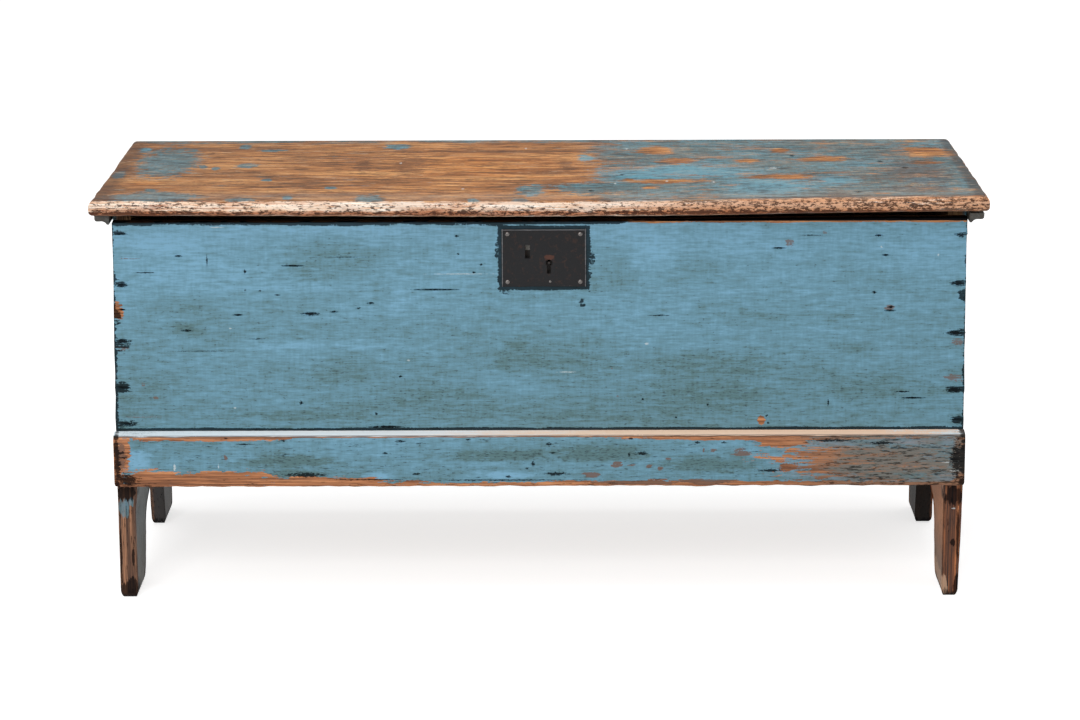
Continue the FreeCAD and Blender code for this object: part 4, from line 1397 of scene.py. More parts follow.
@dataclass
class EndBoard(Part):
    """An end board, cut out below into a front and a rear leg.

    Attributes:
        side: Left or right.
        foot_depth: Depth of a foot, from front to back.
        leg_flare: How much deeper a leg is where the arch springs.
        leg_height: Height where the arch springs.
        arch_rise: Rise of the arch from there.
        shoulder: Radius of the arch at its sides.
        crown: Radius of the arch at its top.
        crown_half: Half the length of its top.
        toe: Rounding of a foot towards the arch.
        heel: Rounding of a foot's other side.
        arris: Rounding of the legs' edges.
        leg_wear: Depth of the wear of the legs' corners.
        foot_wear: How far the feet are rubbed thinner at the floor.
    """

    side: str = "left"
    foot_depth: float = 0.09
    leg_flare: float = 0.018
    leg_height: float = 0.066
    arch_rise: float = 0.056
    shoulder: float = 0.04
    crown: float = 0.2845
    crown_half: float = 0.1013
    toe: float = 0.026
    heel: float = 0.008
    arris: float = 0.0022
    leg_wear: float = 0.004
    foot_wear: float = 0.004

    def _arch(self, low: Vector, high: Vector) -> list[Workpiece]:
        """Make the tools that cut out the arch between the legs.

        Args:
            low: Lowest corner of the board.
            high: Its highest corner.

        Returns:
            The tools.
        """
        middle = (low.y + high.y) / 2
        half = (high.y - low.y) / 2 - self.foot_depth - self.leg_flare
        left, right = low.x - OVER, high.x + OVER
        spring = low.z + self.leg_height
        splay = Workpiece("splay", (left, middle - half, low.z - OVER), (right, middle + half, spring))
        flare = self.leg_flare * (self.leg_height + OVER) / self.leg_height
        for _, way in SIDES:
            splay.push((0, way * flare, 0), Kind.VERTICES,
                       lambda spot, _: spot.z < low.z and (spot.y - middle) * way > 0)
        tools = [splay]
        across, thick = (left + right) / 2, right - left
        for _, way in SIDES:
            centre = (across, middle + way * (half - self.shoulder), spring)
            tools.append(Workpiece.rod("shoulder", centre, X, self.shoulder, thick, 64))
        centre = (across, middle, spring + self.arch_rise - self.crown)
        crown = Workpiece.rod("crown", centre, X, self.crown, thick, 240)
        crown.trim(Z, spring - 0.001, above=False)
        for _, way in SIDES:
            crown.trim(Y, middle + way * self.crown_half, above=way > 0)
        return tools + [crown]

    def model(self) -> Workpiece:
        """Shape the board: notches, dado, arch, worn feet and the lean of its legs.

        Returns:
            The board.
        """
        low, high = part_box(f"end_board_{self.side}")
        front_low, front_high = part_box("front_board")
        back_low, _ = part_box("back_board")
        piece = Workpiece(f"end_board_{self.side}_worn", low, high)
        left, right, top = low.x - OVER, high.x + OVER, high.z + OVER
        piece.cut_by(
            Workpiece("front_notch", (left, low.y - OVER, front_low.z), (right, front_high.y, top)),
            Workpiece("back_notch", (left, back_low.y, back_low.z), (right, high.y + OVER, top)),
            Workpiece("dado", *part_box("bottom_board")),
            *self._arch(low, high),
        )
        arch_side = low.y + self.foot_depth
        for width, segments, start, end in ((self.toe, 8, 0.0, 0.012), (self.heel, 4, 0.05, FAR)):
            piece.round_edges(width, segments, lambda middle, way: abs(way.x) > 0.9 and middle.z < 0.001
                              and start <= abs(middle.y - arch_side) < end)
        piece.round_edges(self.arris, 3, lambda middle, way: abs(way.x) < 0.1
                          and middle.z < front_low.z - 0.002
                          and (middle.x < low.x + SNUG or middle.x > high.x - SNUG))
        middle = (low.x + high.x) / 2
        piece.slice_at(X, [low.x + 0.004, high.x - 0.004, middle])
        piece.slice_at(Z, [0.0015, 0.0035, 0.0055, 0.010] + steps(low.z, 0.2, 0.007)
                       + steps(0.2, high.z, 0.04))
        piece.slice_at(Y, [low.y + 0.006, high.y - 0.006] + steps(low.y, high.y, 0.03))
        piece.wear_down(self.leg_wear, 0.03,
                        lambda spot: ramp(spot.z, 0.17, 0.13) * self._corner(spot, low, high))
        for _, way in SIDES:
            piece.lean(X, way * self.foot_wear,
                       lambda spot: max(0.0, 1 - spot.z / 0.012) ** 2 * ((spot.x - middle) * way < 0))
        if self.side == "right":
            piece.lean(X, -0.003, lambda spot: ramp(spot.z, 0.15, 0.0) * ramp(spot.x, low.x, high.x)
                       * ramp(spot.y, high.y, low.y))
        else:
            piece.lean(X, -0.006, lambda spot: ramp(spot.z, 0.16, 0.12) * ramp(spot.x, low.x, high.x)
                       * (0.45 + 0.55 * ramp(spot.y, -0.05, 0.05)))
        outer, way = (low.x, -1) if self.side == "left" else (high.x, 1)
        piece.lean(X, way * SPREAD[way], lambda spot: spreading(spot) * ramp(spot.x, middle, outer))
        return piece

    @staticmethod
    def _corner(spot: Vector, low: Vector, high: Vector) -> float:
        """Weigh the long corners of the legs."""
        return ramp(min(spot.x - low.x, high.x - spot.x), 0.004, 0.0) * ramp(spot.z, 0.001, 0.006)

    def dress(self) -> Material:
        """Paint the outer face, leave the legs worn, and darken the rear legs with painted shade over their dark
        wood.

        Returns:
            The paint.
        """
        low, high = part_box(f"end_board_{self.side}")
        left = self.side == "left"
        board = Board(f"worn_end_{self.side}", self.effects, LEG_MARKS[self.side], Z, Y)
        graph, marked = board.graph, board.marked
        times, less, most = graph.times, graph.less, graph.most
        board.lay(board.wood(LEG_PINE if left else DARK_LEG_PINE), 1.0)
        outer = board.near(X, low.x if left else high.x, 0.010)
        edge = board.near(Y, low.y, 0.004)
        legs = graph.span(board.lie[2], 0.06, 0.26, 0.9, 0.1)
        ends = most(legs, board.near(Y, low.y, 0.02), board.near(Y, high.y, 0.02))
        blue = board.paint(OLD_BLUE, 0.6)
        board.lay(blue, outer, less(board.worn(ends, 0.15)), less(edge), rise=0.5)
        inside = less(most(outer, edge))
        board.lay(board.wood(AGED_PINE), inside, board.beyond(Z, 0.185, 0.195))
        inner = times(inside, board.beyond(Z, 0.20, 0.17))
        face = shade(104, 120, 124) if left else shade(198, 134, 90)
        foot = shade(92, 98, 96) if left else shade(122, 98, 80)
        board.lay(graph.mix(board.beyond(Z, 0.12, 0.02), face, foot), inner, board.worn(0.85, 0.3), 0.85)
        board.lay(blue, board.patches(marked(Layer.PAINT), 0.8, 0.2), edge, 0.7, rise=0.3)
        board.lay(shade(196, 160, 132), board.worn(marked(Layer.BARE), 0.2), 0.7)
        skin = board.near(X, low.x - 0.002 if left else high.x + 0.002, 0.006)
        skin = most(skin, board.near(Y, high.y, 0.012))
        # Painted shade: the rear legs, back in the chest's shadow, are laid dark and blackened over their dark
        # wood.
        rear = times(board.beyond(Y, 0.0, 0.05), less(skin), board.beyond(Z, 0.20, 0.16))
        board.lay(shade(56, 52, 52) if left else shade(22, 20, 18), rear, 0.9)
        board.blacken(rear, board.worn(0.15, 0.3) if left else 0.6)
        dark = times(board.patches(marked(Layer.DARK), 0.85, 0.25), board.beyond(Y, low.y + 0.045, low.y + 0.015))
        floor = board.worn(graph.span(board.lie[2], 0.0, 0.020, 0.7, 0.0), 0.2)
        board.blacken(board.streaks(0.3), 0.75)
        board.blacken(most(dark, floor, marked(Layer.NICK)), 0.85)
        board.lay(DRIED_WHITE, marked(Layer.PALE), 0.6)
        return board.close(0.65)

    def make(self) -> bpy.types.Object:
        """Model and dress the board."""
        return self.model().finish(self.dress(), "chest", "end_board_wood", f"end_board_{self.side}")


LEG_MARKS = {
    "left": marks(Layer.DARK, (-577, 152, 16, 13), (-579, 10, 20, 20), (-571, 60, 2, 14), (-588, 60, 1.5, 50))
    + marks(Layer.PAINT, (-581, 131, 8, 16), (-571, 140, 4, 8)),
    "right": marks(Layer.DARK, (576, 147, 18, 14), (583, 14, 5, 20), (584, 90, 2, 40), (577, 78, 4, 7))
    + marks(Layer.NICK, (577, 78, 2, 2.5)) + marks(Layer.BARE, (565, 15, 6, 18))
    + marks(Layer.PALE, (577, 128, 3, 1.2)),
}


@dataclass
class Lid(Part):
    """The one-board lid with its nosing.

    Attributes:
        slice_size: Distance between the cuts that let its edges wear.
        round_over: Rounding of its upper edges.
        round_under: Rounding of its lower edges.
        recess: Depth of the recesses for the hinges' leaves.
        lift: How far its right front corner has risen.
        sag: How far the middle of its front has sunk.
        edge_wear: Depth of the wear along its outline.
    """

    slice_size: float = 0.009
    round_over: float = 0.009
    round_under: float = 0.007
    recess: float = 0.0022
    lift: float = 0.0035
    sag: float = 0.002
    edge_wear: float = 0.004

    def model(self) -> Workpiece:
        """Shape the board: its nosing, its recesses, its lift, its sag and its worn edges.

        Returns:
            The board.
        """
        low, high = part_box("lid_board")
        piece = Workpiece("lid_board_worn", low, high)
        for width, segments, face in ((self.round_over, 5, high.z), (self.round_under, 4, low.z)):
            piece.round_edges(width, segments, lambda middle, way: abs(middle.z - face) < SNUG
                              and (abs(way.y) > 0.9 or abs(way.x) > 0.9 and middle.y < low.y + SNUG))
        for side, _ in SIDES:
            leaf_low, leaf_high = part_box(f"hinge_{side}_lid_leaf")
            piece.cut_by(Workpiece("recess", (leaf_low.x, leaf_low.y, low.z - OVER),
                                   (leaf_high.x, high.y + OVER, low.z + self.recess)))
        piece.slice_at(X, steps(low.x + 0.01, high.x - 0.01, self.slice_size))
        piece.slice_at(Y, [low.y + 0.011, high.y - 0.004] + steps(low.y, high.y, 0.02))
        piece.lean(Z, self.lift, lambda spot: ramp(spot.x, 0.1, high.x) * ramp(spot.y, high.y, low.y))
        piece.lean(Z, -self.sag, lambda spot: ramp(abs(spot.x), 0.5, 0.1) * ramp(spot.y, high.y - 0.1, low.y))
        piece.wear_down(self.edge_wear, 0.03, lambda spot: max(
            ramp(spot.y, low.y + 0.012, low.y), ramp(abs(spot.x), high.x - 0.012, high.x)), 0.7)
        return piece

    def dress(self) -> Material:
        """Paint the lid's top, wear its edges down to wood, and leave its underside bare.

        Returns:
            The paint.
        """
        low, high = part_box("lid_board")
        board = Board("worn_lid", self.effects, LID_MARKS, face=Z, scales=(1.7, 0.6, 1.2))
        graph, marked = board.graph, board.marked
        times, less, most, total = graph.times, graph.less, graph.most, graph.total
        board.lay(board.wood(LID_PINE), 1.0)
        right = times(board.beyond(X, 0.0, 0.12), 0.66)
        back = times(board.near(Y, high.y, 0.075), 0.6)
        light = marked(Layer.LIGHT)
        cover = most(times(marked(Layer.PAINT), 0.76), times(light, 0.78), right, back, 0.24)
        bright, stain = marked(Layer.BARE), marked(Layer.BROWN)
        film = board.worn(times(cover, less(times(bright, 0.5))), 0.26)
        dirt = total(0.15, (light, -0.75), (back, 0.3))
        board.lay(board.paint(LID_BLUE, dirt), film, 0.86, rise=0.3)
        board.lay(board.wood(BRIGHT_PINE), board.patches(bright, 0.5, 0.3), 0.64)
        board.lay(STAIN, board.patches(stain, 0.65, 0.2), 0.5)
        board.lay(shade(170, 158, 146), board.near(Y, low.y + 0.03, 0.06), board.worn(0.6, 0.3), 0.3)
        ends = board.ends(X, low.x + 0.01, high.x - 0.01, 0.05, 0.025)
        board.lay(CHARRED, board.patches(ends, 0.75, 0.3), 0.6)
        mottle = graph.cloud(board.where, (26.0, 85.0, 85.0), (5.2, 1.4, 3.8), 5.0, 0.78)
        board.lay(shade(84, 74, 66), board.beyond(X, -0.15, -0.45), 0.16)
        board.lay(shade(58, 46, 40), graph.span(mottle, 0.51, 0.62), 0.62)
        board.lay(shade(214, 190, 160), graph.span(mottle, 0.44, 0.34), 0.4)
        board.lay(CHARRED, board.streaks(total(0.2, (stain, 0.2))), 0.6)
        self._nose(board, low, high)
        top = board.beyond(Z, high.z - 0.006, high.z - 0.003)
        board.blacken(marked(Layer.NICK), top, 0.8)
        board.lay(DRIED_WHITE, marked(Layer.PALE), top, 0.6)
        below = [board.beyond(Z, low.z + 0.0062, low.z + 0.0052),
                 board.beyond(Y, low.y + 0.010, low.y + 0.013)]
        below += [board.beyond(X, way * (high.x - 0.010), way * (high.x - 0.013)) for _, way in SIDES]
        board.lay(board.wood(AGED_PINE), *below)
        return board.close(0.7, 0.12)

    @staticmethod
    def _nose(board: Board, low: Vector, high: Vector) -> None:
        """Wear the rounded edges down to pale wood with a painted highlight along the front nosing's upper half,
        dark in the pores of their lower half.

        Args:
            board: The lid's material.
            low: Lowest corner of the lid.
            high: Its highest corner.
        """
        graph = board.graph
        times, less, most, total = graph.times, graph.less, graph.most, graph.total
        front, ends = board.near(Y, low.y, 0.011), board.ends(X, low.x, high.x, 0.010)
        board.lay(STAIN, board.patches(board.near(Y, low.y + 0.012, 0.010), 0.6, 0.1), 0.5)
        board.lay(board.wood(NOSE_PINE), board.worn(most(front, times(ends, 0.7)), 0.15), rise=-0.2)
        far, inward = board.beyond(X, 0.05, 0.25), board.beyond(X, -0.35, -0.15)
        board.lay(shade(220, 160, 116), front, far, board.worn(0.65, 0.2), 0.85)
        board.lay(shade(188, 136, 104), front, inward, board.worn(0.5, 0.3), 0.6)
        # Painted highlight: a near-white band along the upper half of the front nosing.
        glow = times(board.near(Z, high.z - 0.007, 0.007), front, board.worn(0.55, 0.15),
                     less(times(far, 0.75)))
        board.lay(shade(255, 242, 226), glow, 0.6)
        lower = times(board.near(Z, low.z + 0.003, 0.008), most(front, ends))
        board.lay(shade(176, 108, 70), board.patches(lower, 0.9, 0.2), 0.8)
        left = board.beyond(X, -0.40, -0.55)
        grit = graph.cloud(board.where, (120.0, 330.0, 330.0), (2.7, 6.4, 1.9), rough=0.78)
        specks = total(grit, (lower, 0.10), (times(lower, left), 0.08), (far, 0.065), (left, 0.03),
                       (board.level, 0.14), (0.5, -0.14))
        specks = most(graph.span(specks, 0.55, 0.61), board.streaks(total(0.1, (lower, 0.3), (far, 0.3))))
        board.lay(shade(48, 26, 22), specks, most(front, ends), 0.9, rise=-0.3)

    def make(self) -> bpy.types.Object:
        """Model and dress the lid."""
        return self.model().finish(self.dress(), "lid", "lid_paint", "lid_board")


@dataclass
class Cleats(Part):
    """The moulded battens under the lid's ends.

    Attributes:
        width: Width of a batten at its top.
        bead: Height of the bead at its top.
        bead_round: Rounding of the bead.
        bead_x: How far the bead's middle is from the lid's middle.
        foot: Width of its foot.
        cove: Radius of the cove between the two.
        edge_wear: Depth of its wear.
    """

    width: float = 0.02
    bead: float = 0.0085
    bead_round: float = 0.0038
    bead_x: float = 0.6085
    foot: float = 0.003
    cove: float = 0.009
    edge_wear: float = 0.0012

    def model(self, side: str, way: int) -> Workpiece:
        """Shape a cleat: a bead outside, and a cove down to its foot.

        Args:
            side: Left or right.
            way: The way outwards along X, -1 or 1.

        Returns:
            The cleat.
        """
        low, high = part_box(f"lid_cleat_{side}")
        inner = low.x if way > 0 else high.x
        piece = Workpiece(f"lid_cleat_{side}_worn", low, high)
        ends = sorted((inner + way * (self.foot + self.cove), inner + way * (self.width + OVER)))
        step = Workpiece("step", (ends[0], low.y - OVER, low.z - OVER),
                         (ends[1], high.y + OVER, high.z - self.bead))
        start, end = Vector((self.foot, low.z)), Vector((self.foot + self.cove, high.z - self.bead))
        half = (end - start) / 2
        rise = math.sqrt(self.cove**2 - half.length_squared)
        centre = start + half + Vector((half.y, -half.x)).normalized() * rise
        tool = Workpiece.rod("cove", (inner + way * centre.x, (low.y + high.y) / 2, centre.y), Y, self.cove,
                             high.y - low.y + 2 * OVER, 64)
        piece.cut_by(step, tool)
        outer = inner + way * self.width
        piece.round_edges(self.bead_round, 4, lambda middle, along: abs(along.y) > 0.9
                          and abs(middle.x - outer) < 1e-4 and middle.z < high.z - 0.002)
        piece.slice_at(Y, steps(low.y, high.y, 0.008))
        piece.wear_down(self.edge_wear, 0.02, lambda spot: ramp(spot.z, high.z, high.z - 0.002))
        return piece

    def dress(self) -> Material:
        """Paint the cleats dark, and let their beads wear pale, partly as a painted highlight.

        Returns:
            The paint.
        """
        board = Board("dark_cleat", self.effects, (), Y, X)
        board.lay(board.wood(AGED_PINE), 1.0)
        board.lay(board.paint(CLEAT_BLUE, 0.2), 0.9)
        bead = board.ends(X, -self.bead_x, self.bead_x, 0.0035)
        # Worn paint and painted highlight: a pale line along each bead's outer edge.
        board.lay(shade(170, 168, 160), board.patches(bead, 0.6, 0.2))
        return board.close(0.6)

    def make(self) -> None:
        """Model and dress both cleats."""
        paint = self.dress()
        for side, way in SIDES:
            self.model(side, way).finish(paint, "lid", "cleat_paint", f"lid_cleat_{side}")


LID_MARKS = (
    marks(Layer.PAINT,
    (-539, 55.6, 53.7, 148), (-538, -170, 11.8, 15.4), (-345, -226, 8.2, 18.9), (-423, 26.5, 18, 22.9),
    (-409, -240, 23.9, 15), (-233, -247, 24.6, 52.3), (-528, -223, 70.7, 49.1), (-465, 4.4, 7.2, 16.5),
    (-484, 17.1, 7.2, 16.6), (-290, -150, 9.7, 12.4), (-384, -90.2, 8.5, 12), (-213, 188, 23.8, 26.6),
    (-396, 154, 22.9, 11), (-439, 188, 10.4, 23.1), (-11.3, -167, 24.9, 46.3), (76.7, -156, 63.1, 58.2),
    (-26.3, -248, 14.3, 23.9), (-89.8, -241, 10.9, 15),
    ) + marks(Layer.LIGHT,
    (-584, 164, 11.9, 26.4), (-597, -46.7, 10, 32.4), (418, -109, 32.2, 49), (311, -156, 72.1, 62),
    (536, -117, 21.6, 19.7), (66, 83.8, 13.1, 34.1), (-345, -226, 8.2, 18.9), (200, -31, 114, 53),
    ) + marks(Layer.BARE,
    (-84.8, 23.1, 125, 121), (-553, -116, 37.5, 24.1), (-289, -181, 18, 15.4), (39.1, -223, 50, 11.7),
    (126, -90.2, 8.4, 11.9), (169, 147, 24.3, 39.3), (197, 56.2, 33.3, 25.3), (352, 144, 15.4, 21.8),
    (298, 54.5, 20.2, 16.9), (412, 69.6, 33.3, 25.4), (336, -77.2, 52.1, 18.8), (175, -105, 48.3, 17.8),
    (153, -151, 14.6, 13.2), (569, 127, 37.3, 43.3), (560, 27.6, 25.1, 14.2),
    ) + marks(Layer.BROWN,
    (-483, 136, 7.4, 13.9), (-398, 99.2, 13.2, 9.4), (-254, 23.7, 15.1, 56.3), (-186, 24.7, 27.4, 121),
    (-96.4, 143, 125, 13.1), (35.3, 29.5, 12.2, 54.3), (-162, -74.5, 19.8, 8), (-64, -93.2, 39.4, 9.9),
    (11.7, -34.1, 28.5, 18.3), (539, -60.7, 52.2, 133), (523, -190, 60.5, 30.6), (408, -223, 20.5, 26.4),
    ) + marks(Layer.NICK,
    (71.8, -171, 5.5, 7.7), (117, -50, 4.3, 8.1), (439, -209, 9.6, 5.3), (367, 95.9, 4.4, 9.4),
    (521, -14, 7.1, 8.2), (490, 42.9, 5.8, 9.2), (479, 155, 47.8, 3.5), (571, 162, 42.7, 3.5),
    ) + marks(Layer.PALE,
    (106, -118, 2.2, 6.3), (127, 161, 2.4, 7), (-106, -154, 2.2, 6.2), (-201, 45.9, 2.3, 6.7),
    (-21.5, 167, 2.4, 7), (179, -102, 2.2, 6.3), (244, -113, 2.2, 6.3), (334, -7.7, 7.1, 6.6),
    )
)


@dataclass
class Lock(Part):
    """The iron lock: its plate, nails, rivet and what is behind it.

    Attributes:
        slot: Middle of the hasp slot, along X and Z.
        slot_half: Half its width and half its height.
        key: Middle of the keyhole's round part, along X and Z.
        key_radius: Radius of that part.
        bit_half: Half the width of the part below it.
        bit_depth: How far that part reaches down.
        arris: Rounding of the plate's edges.
        edge_wear: Depth of the wear along its outline.
        rim: How far in from its outline the plate is rubbed bright.
    """

    slot: tuple[float, float] = (-0.0158, 0.4953)
    slot_half: tuple[float, float] = (0.00325, 0.0094)
    key: tuple[float, float] = (0.0135, 0.4795)
    key_radius: float = 0.0046
    bit_half: float = 0.0025
    bit_depth: float = 0.015
    arris: float = 0.0005
    edge_wear: float = 0.0012
    rim: float = 0.0014

    def model(self) -> Workpiece:
        """Shape the plate: its slot, its keyhole and its worn outline.

        Returns:
            The plate.
        """
        low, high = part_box("lock_plate")
        (slot_x, slot_z), (half_x, half_z), (key_x, key_z) = self.slot, self.slot_half, self.key
        front, behind = low.y - OVER, high.y + OVER
        piece = Workpiece("lock_plate_worn", low, high)
        piece.cut_by(
            Workpiece("slot", (slot_x - half_x, front, slot_z - half_z),
                      (slot_x + half_x, behind, slot_z + half_z)),
            Workpiece.rod("key_round", (key_x, low.y, key_z), Y, self.key_radius, 0.03),
            Workpiece("key_bit", (key_x - self.bit_half, front, key_z - self.bit_depth),
                      (key_x + self.bit_half, behind, key_z)),
        )
        piece.round_edges(self.arris, 2, lambda middle, way: middle.y < low.y + SNUG)
        for axis, start, end in ((X, low.x, high.x), (Z, low.z, high.z)):
            piece.slice_at(axis, steps(start, end, 0.006))
        piece.wear_down(self.edge_wear, 0.02, lambda spot: ramp(min(
            spot.x - low.x, high.x - spot.x, spot.z - low.z, high.z - spot.z), 0.002, 0.0))
        return piece

    def dress(self) -> Material:
        """Give the plate its dark iron, bright along the rim and rusty where a key cover turned.

        Returns:
            The iron.
        """
        low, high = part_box("lock_plate")
        board = PLATE_IRON.begin(self.effects)
        graph = board.graph
        upper = graph.most(board.ends(X, low.x + self.rim, high.x - self.rim, 0.0011),
                           board.near(Z, high.z - self.rim, 0.0011))
        foot = board.near(Z, low.z + self.rim, 0.0011)
        rims = graph.most(graph.times(upper, 0.75), graph.times(foot, 0.3))
        board.lay(shade(128, 130, 134), board.worn(rims, 0.3), 0.7)
        key_x, key_z = self.key
        turned = graph.times(board.near(X, key_x, 0.012), board.near(Z, key_z + 0.008, 0.007), 1.4)
        board.lay(shade(104, 64, 50), board.patches(turned, 0.7, 0.35), 0.5)
        return board.close(PLATE_IRON.roughness, 0.2, 0.3, 0.0005)

    def make(self) -> None:
        """Model the plate and dress the whole lock."""
        self.model().finish(self.dress(), "chest", "lock_iron", "lock_plate")
        redress(LOCK_IRON.build(self.effects), "lock_case", "lock_drill_pin", "lock_bolt_guide_left",
                "lock_bolt_guide_right")
        redress(BOLT_STEEL.build(self.effects), "lock_bolt", "lock_bolt_spring")
        redress(RUBBED_IRON.build(self.effects), "lock_plate_nails", "keyhole_cover_rivet")


def redress(material: Material, *names: str) -> None:
    """Give solids of the frame a better material.

    Args:
        material: What they wear from now on.
        names: Names of the solids.
    """
    for name in names:
        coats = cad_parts[name].data.materials
        coats.clear()
        coats.append(material)
        log.info("%s: dressed", name)


@dataclass
class Hinges(Part):
    """Two iron butt hinges."""

    def make(self) -> None:
        """Dress the hinges and their screws."""
        for finish, parts in ((HINGE_IRON, ("body_leaf", "lid_leaf", "pin")),
                              (SCREW_IRON, ("body_screws", "lid_screws"))):
            names = [f"hinge_{side}_{part}" for side, _ in SIDES for part in parts]
            redress(finish.build(self.effects), *names)


@dataclass
class Nails(Part):
    """Cut nails, of which only the heads show. Those of painted boards were painted over.

    Attributes:
        nail_x: How far the rows at the boards' ends are from the middle.
        cleat_x: How far the rows over the cleats are from the middle.
        floor_z: Height of the rows into the bottom board.
        skirt_z: Height of the row in the skirt.
        left: Places of the front board's left nails, as shares of its height.
        right: Places of its right nails.
        back: Places of the back board's nails at either end.
        floor: Places of the nails into the bottom board, as shares of the front's width.
        skirt: Places of the skirt's nails.
        cleat: Places of the nails into a cleat, as shares of its length.
        width: Width of a head.
        height: Height of a head.
        proud: How far a head stands out.
        depth: How far its plate is let in.
        arris: Rounding of the head.
        shank: Length of the shank behind it.
    """

    nail_x: float = 0.575
    cleat_x: float = 0.5955
    floor_z: float = 0.192
    skirt_z: float = 0.202
    left: tuple[float, ...] = (0.204, 0.312, 0.525, 0.652, 0.749, 0.942)
    right: tuple[float, ...] = (0.204, 0.362, 0.563, 0.687, 0.896)
    back: tuple[float, ...] = (0.08, 0.3, 0.52, 0.74, 0.94)
    floor: tuple[float, ...] = (-0.4, -0.2, 0, 0.2, 0.4)
    skirt: tuple[float, ...] = (-0.46, -0.29, -0.1, 0.1, 0.29, 0.46)
    cleat: tuple[float, ...] = (0.07, 0.36, 0.64, 0.93)
    width: float = 0.0055
    height: float = 0.0038
    proud: float = 0.0003
    depth: float = 0.0012
    arris: float = 0.0003
    shank: float = 0.012

    def _head(self) -> Workpiece:
        """Model one head with the way it points along +Y: a bevelled plate with a short shank.

        Returns:
            The head.
        """
        piece = Workpiece("nail_head", (-self.width / 2, -self.proud, -self.height / 2),
                          (self.width / 2, self.depth, self.height / 2))
        piece.round_edges(self.arris, 2, lambda middle, way: middle.y < SNUG)
        piece.pick(Kind.FACES, lambda middle, way: way.y > 0.9)
        bpy.ops.mesh.inset(thickness=0.001)
        bpy.ops.mesh.extrude_region_move(TRANSFORM_OT_translate={"value": (0, self.shank, 0)})
        piece.leave()
        return piece

    @staticmethod
    def _place(x: float, y: float, z: float, turn: Matrix, index: int) -> Matrix:
        """Place a head by its turn, tilted a little by its number in its row."""
        tilt = Matrix.Rotation(math.radians((index * 37 % 23) - 11), 4, "Y")
        return Matrix.Translation((x, y, z)) @ turn @ tilt

    def make(self, front_paint: Material, skirt_paint: Material, lid_paint: Material) -> None:
        """Place every group of nails.

        Args:
            front_paint: What the heads in the front board wear.
            skirt_paint: What the heads in the skirt wear.
            lid_paint: What the heads in the lid wear.
        """
        iron = CUT_NAIL_IRON.build(self.effects)
        front_low, front_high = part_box("front_board")
        back_low, back_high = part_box("back_board")
        cleat_low, cleat_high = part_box("lid_cleat_left")
        face, away = Matrix.Identity(4), Matrix.Rotation(math.pi, 4, "Z")
        down = Matrix.Rotation(-math.pi / 2, 4, "X")
        width, height = front_high.x - front_low.x, front_high.z - front_low.z
        rows = ((-self.nail_x, self.left), (self.nail_x, self.right))
        spots = [(x, share) for x, row in rows for share in row]
        front = [self._place(x, front_low.y, front_low.z + share * height, face, index)
                 for index, (x, share) in enumerate(spots)]
        height = back_high.z - back_low.z
        back = [self._place(way * self.nail_x, back_high.y, back_low.z + share * height, away, index)
                for _, way in SIDES for index, share in enumerate(self.back)]
        ways = ((front_low.y, face), (back_high.y, away))
        floor = [self._place(share * width, y, self.floor_z, turn, index)
                 for index, share in enumerate(self.floor) for y, turn in ways]
        skirt = [self._place(share * width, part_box("skirt_board")[0].y, self.skirt_z, face, index)
                 for index, share in enumerate(self.skirt)]
        length, top = cleat_high.y - cleat_low.y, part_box("lid_board")[1].z
        cleats = [self._place(way * self.cleat_x, cleat_low.y + share * length, top, down, index)
                  for _, way in SIDES for index, share in enumerate(self.cleat)]
        for name, places, body, material in (
                ("front_board_nails", front, "chest", front_paint), ("back_board_nails", back, "chest", iron),
                ("bottom_board_nails", floor, "chest", iron), ("skirt_nails", skirt, "chest", skirt_paint),
                ("lid_cleat_nails", cleats, "lid", lid_paint)):
            self._head().spread(f"{name}_worn", places).finish(material, body, "nail_iron", name)


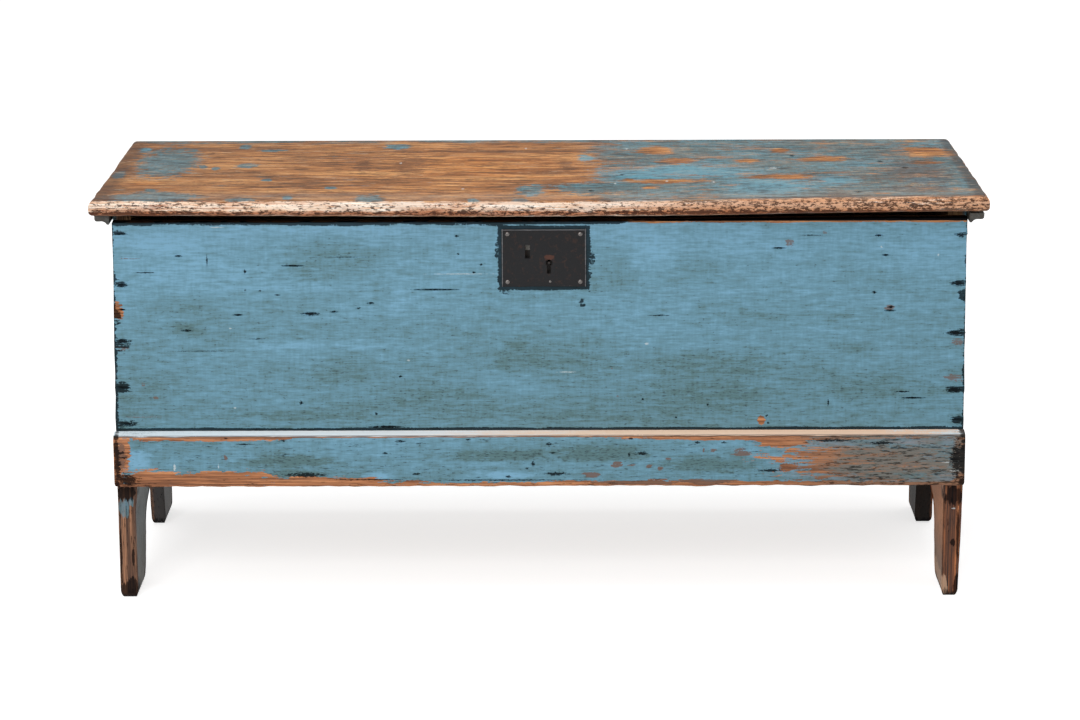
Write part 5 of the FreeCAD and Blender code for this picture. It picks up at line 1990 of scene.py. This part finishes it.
@dataclass
class Studio:
    """The camera, the lamps and the floor.

    Attributes:
        eye: Where the camera stands.
        lens: Its focal length in millimetres, on a 36 mm wide sensor.
        pitch: How far it looks down, in degrees.
        yaw: How far it is turned to the left, in degrees.
        roll: How far it leans, in degrees.
        target: What the lamps face.
    """

    eye: Triple = (0.0322, -4.90415, 1.434)
    lens: float = 115.73
    pitch: float = 13.14
    yaw: float = -0.387
    roll: float = -0.228
    target: Triple = (0.0, 0.0, 0.3)

    def make(self) -> None:
        """Set up the camera, the lamps and the floor."""
        self._camera()
        self._lamp("top_box", place=(0.0, -0.4, 3.2), size=2.6, watts=42.0)
        self._lamp("front_box", place=(-1.0, -4.2, 2.3), size=2.2, watts=98.0)
        self._floor()
        self._world()
        bpy.context.scene.view_settings.view_transform = "Standard"
        log.info("studio: ready")

    def _camera(self) -> None:
        """Stand the camera where the photograph was taken from."""
        bpy.ops.object.camera_add(location=self.eye)
        camera = bpy.context.object
        turn = (Matrix.Rotation(math.radians(-self.yaw), 4, "Z")
                @ Matrix.Rotation(math.radians(90 - self.pitch), 4, "X")
                @ Matrix.Rotation(math.radians(self.roll), 4, "Z"))
        camera.matrix_world = Matrix.Translation(self.eye) @ turn
        camera.data.sensor_fit = "HORIZONTAL"
        camera.data.sensor_width = 36.0
        camera.data.lens = self.lens
        camera.data.clip_end = 100.0
        bpy.context.scene.camera = camera

    def _lamp(self, name: str, place: Triple, size: float, watts: float) -> None:
        """Hang a square soft box.

        Args:
            name: Name of the lamp.
            place: Where it hangs.
            size: Length of its sides.
            watts: Its power.
        """
        bpy.ops.object.light_add(type="AREA", location=place)
        lamp = bpy.context.object
        lamp.name = name
        lamp.data.shape = "SQUARE"
        lamp.data.size = size
        lamp.data.energy = watts
        way = Vector(self.target) - Vector(place)
        lamp.matrix_world = Matrix.Translation(place) @ way.to_track_quat("-Z", "Y").to_matrix().to_4x4()

    def _floor(self) -> None:
        """Lay a pale floor that keeps the chest's shadow and is white away from it. Its glow is weakest under the
        back of the chest, a painted shade that deepens the shadow there.
        """
        bpy.ops.object.select_all(action="DESELECT")
        bpy.ops.mesh.primitive_plane_add(size=60.0, location=(0, 0, 0))
        floor = bpy.context.object
        floor.name = "studio_floor"
        material = bpy.data.materials.new("studio_floor")
        material.use_nodes = True
        graph = Graph(material.node_tree)
        shader = material.node_tree.nodes["Principled BSDF"]
        shader.inputs["Base Color"].default_value = (0.8, 0.8, 0.8, 1.0)
        shader.inputs["Roughness"].default_value = 1.0
        shader.inputs["Specular IOR Level"].default_value = 0.0
        place = graph.add("ShaderNodeTexCoord").outputs["Object"]
        place = graph.stretch(place, (0.35, 1.0, 1.0), (0.0, -0.15, 0.0))
        # Painted shade: the glow is weakest under the back half of the chest, deepening its shadow there, and
        # rises away from it so the far floor reads white.
        glow = graph.span(graph.reach(place), 0.1, 0.6, 0.67, 0.80)
        shader.inputs["Emission Color"].default_value = WHITE
        graph.plug(shader.inputs["Emission Strength"], graph.times(graph.seen(), glow))
        floor.data.materials.append(material)

    def _world(self) -> None:
        """Surround the chest with an even white that is dimmer as a light than as a background."""
        world = bpy.data.worlds.new("studio_world")
        world.use_nodes = True
        bpy.context.scene.world = world
        graph = Graph(world.node_tree)
        background = world.node_tree.nodes["Background"]
        graph.plug(background.inputs["Color"], WHITE)
        graph.plug(background.inputs["Strength"], graph.span(graph.seen(), 0.0, 1.0, 0.34, 1.0))


def main() -> None:
    """Build the chest's looks, piece by piece."""
    logging.basicConfig(level=logging.INFO, format="%(name)s %(message)s")
    effects = Effects()
    Studio().make()
    front = FrontBoard(effects).make()
    BackBoard(effects).make()
    skirt = Skirt(effects).make()
    for side, _ in SIDES:
        EndBoard(effects, side).make()
    pine = Board("bare_pine", effects)
    pine.lay(pine.wood(AGED_PINE), 1.0)
    redress(pine.close(0.7), "bottom_board")
    Cleats(effects).make()
    lid = Lid(effects).make()
    Lock(effects).make()
    Hinges(effects).make()
    Nails(effects).make(*(piece.data.materials[0] for piece in (front, skirt, lid)))


if __name__ == "__main__":
    main()
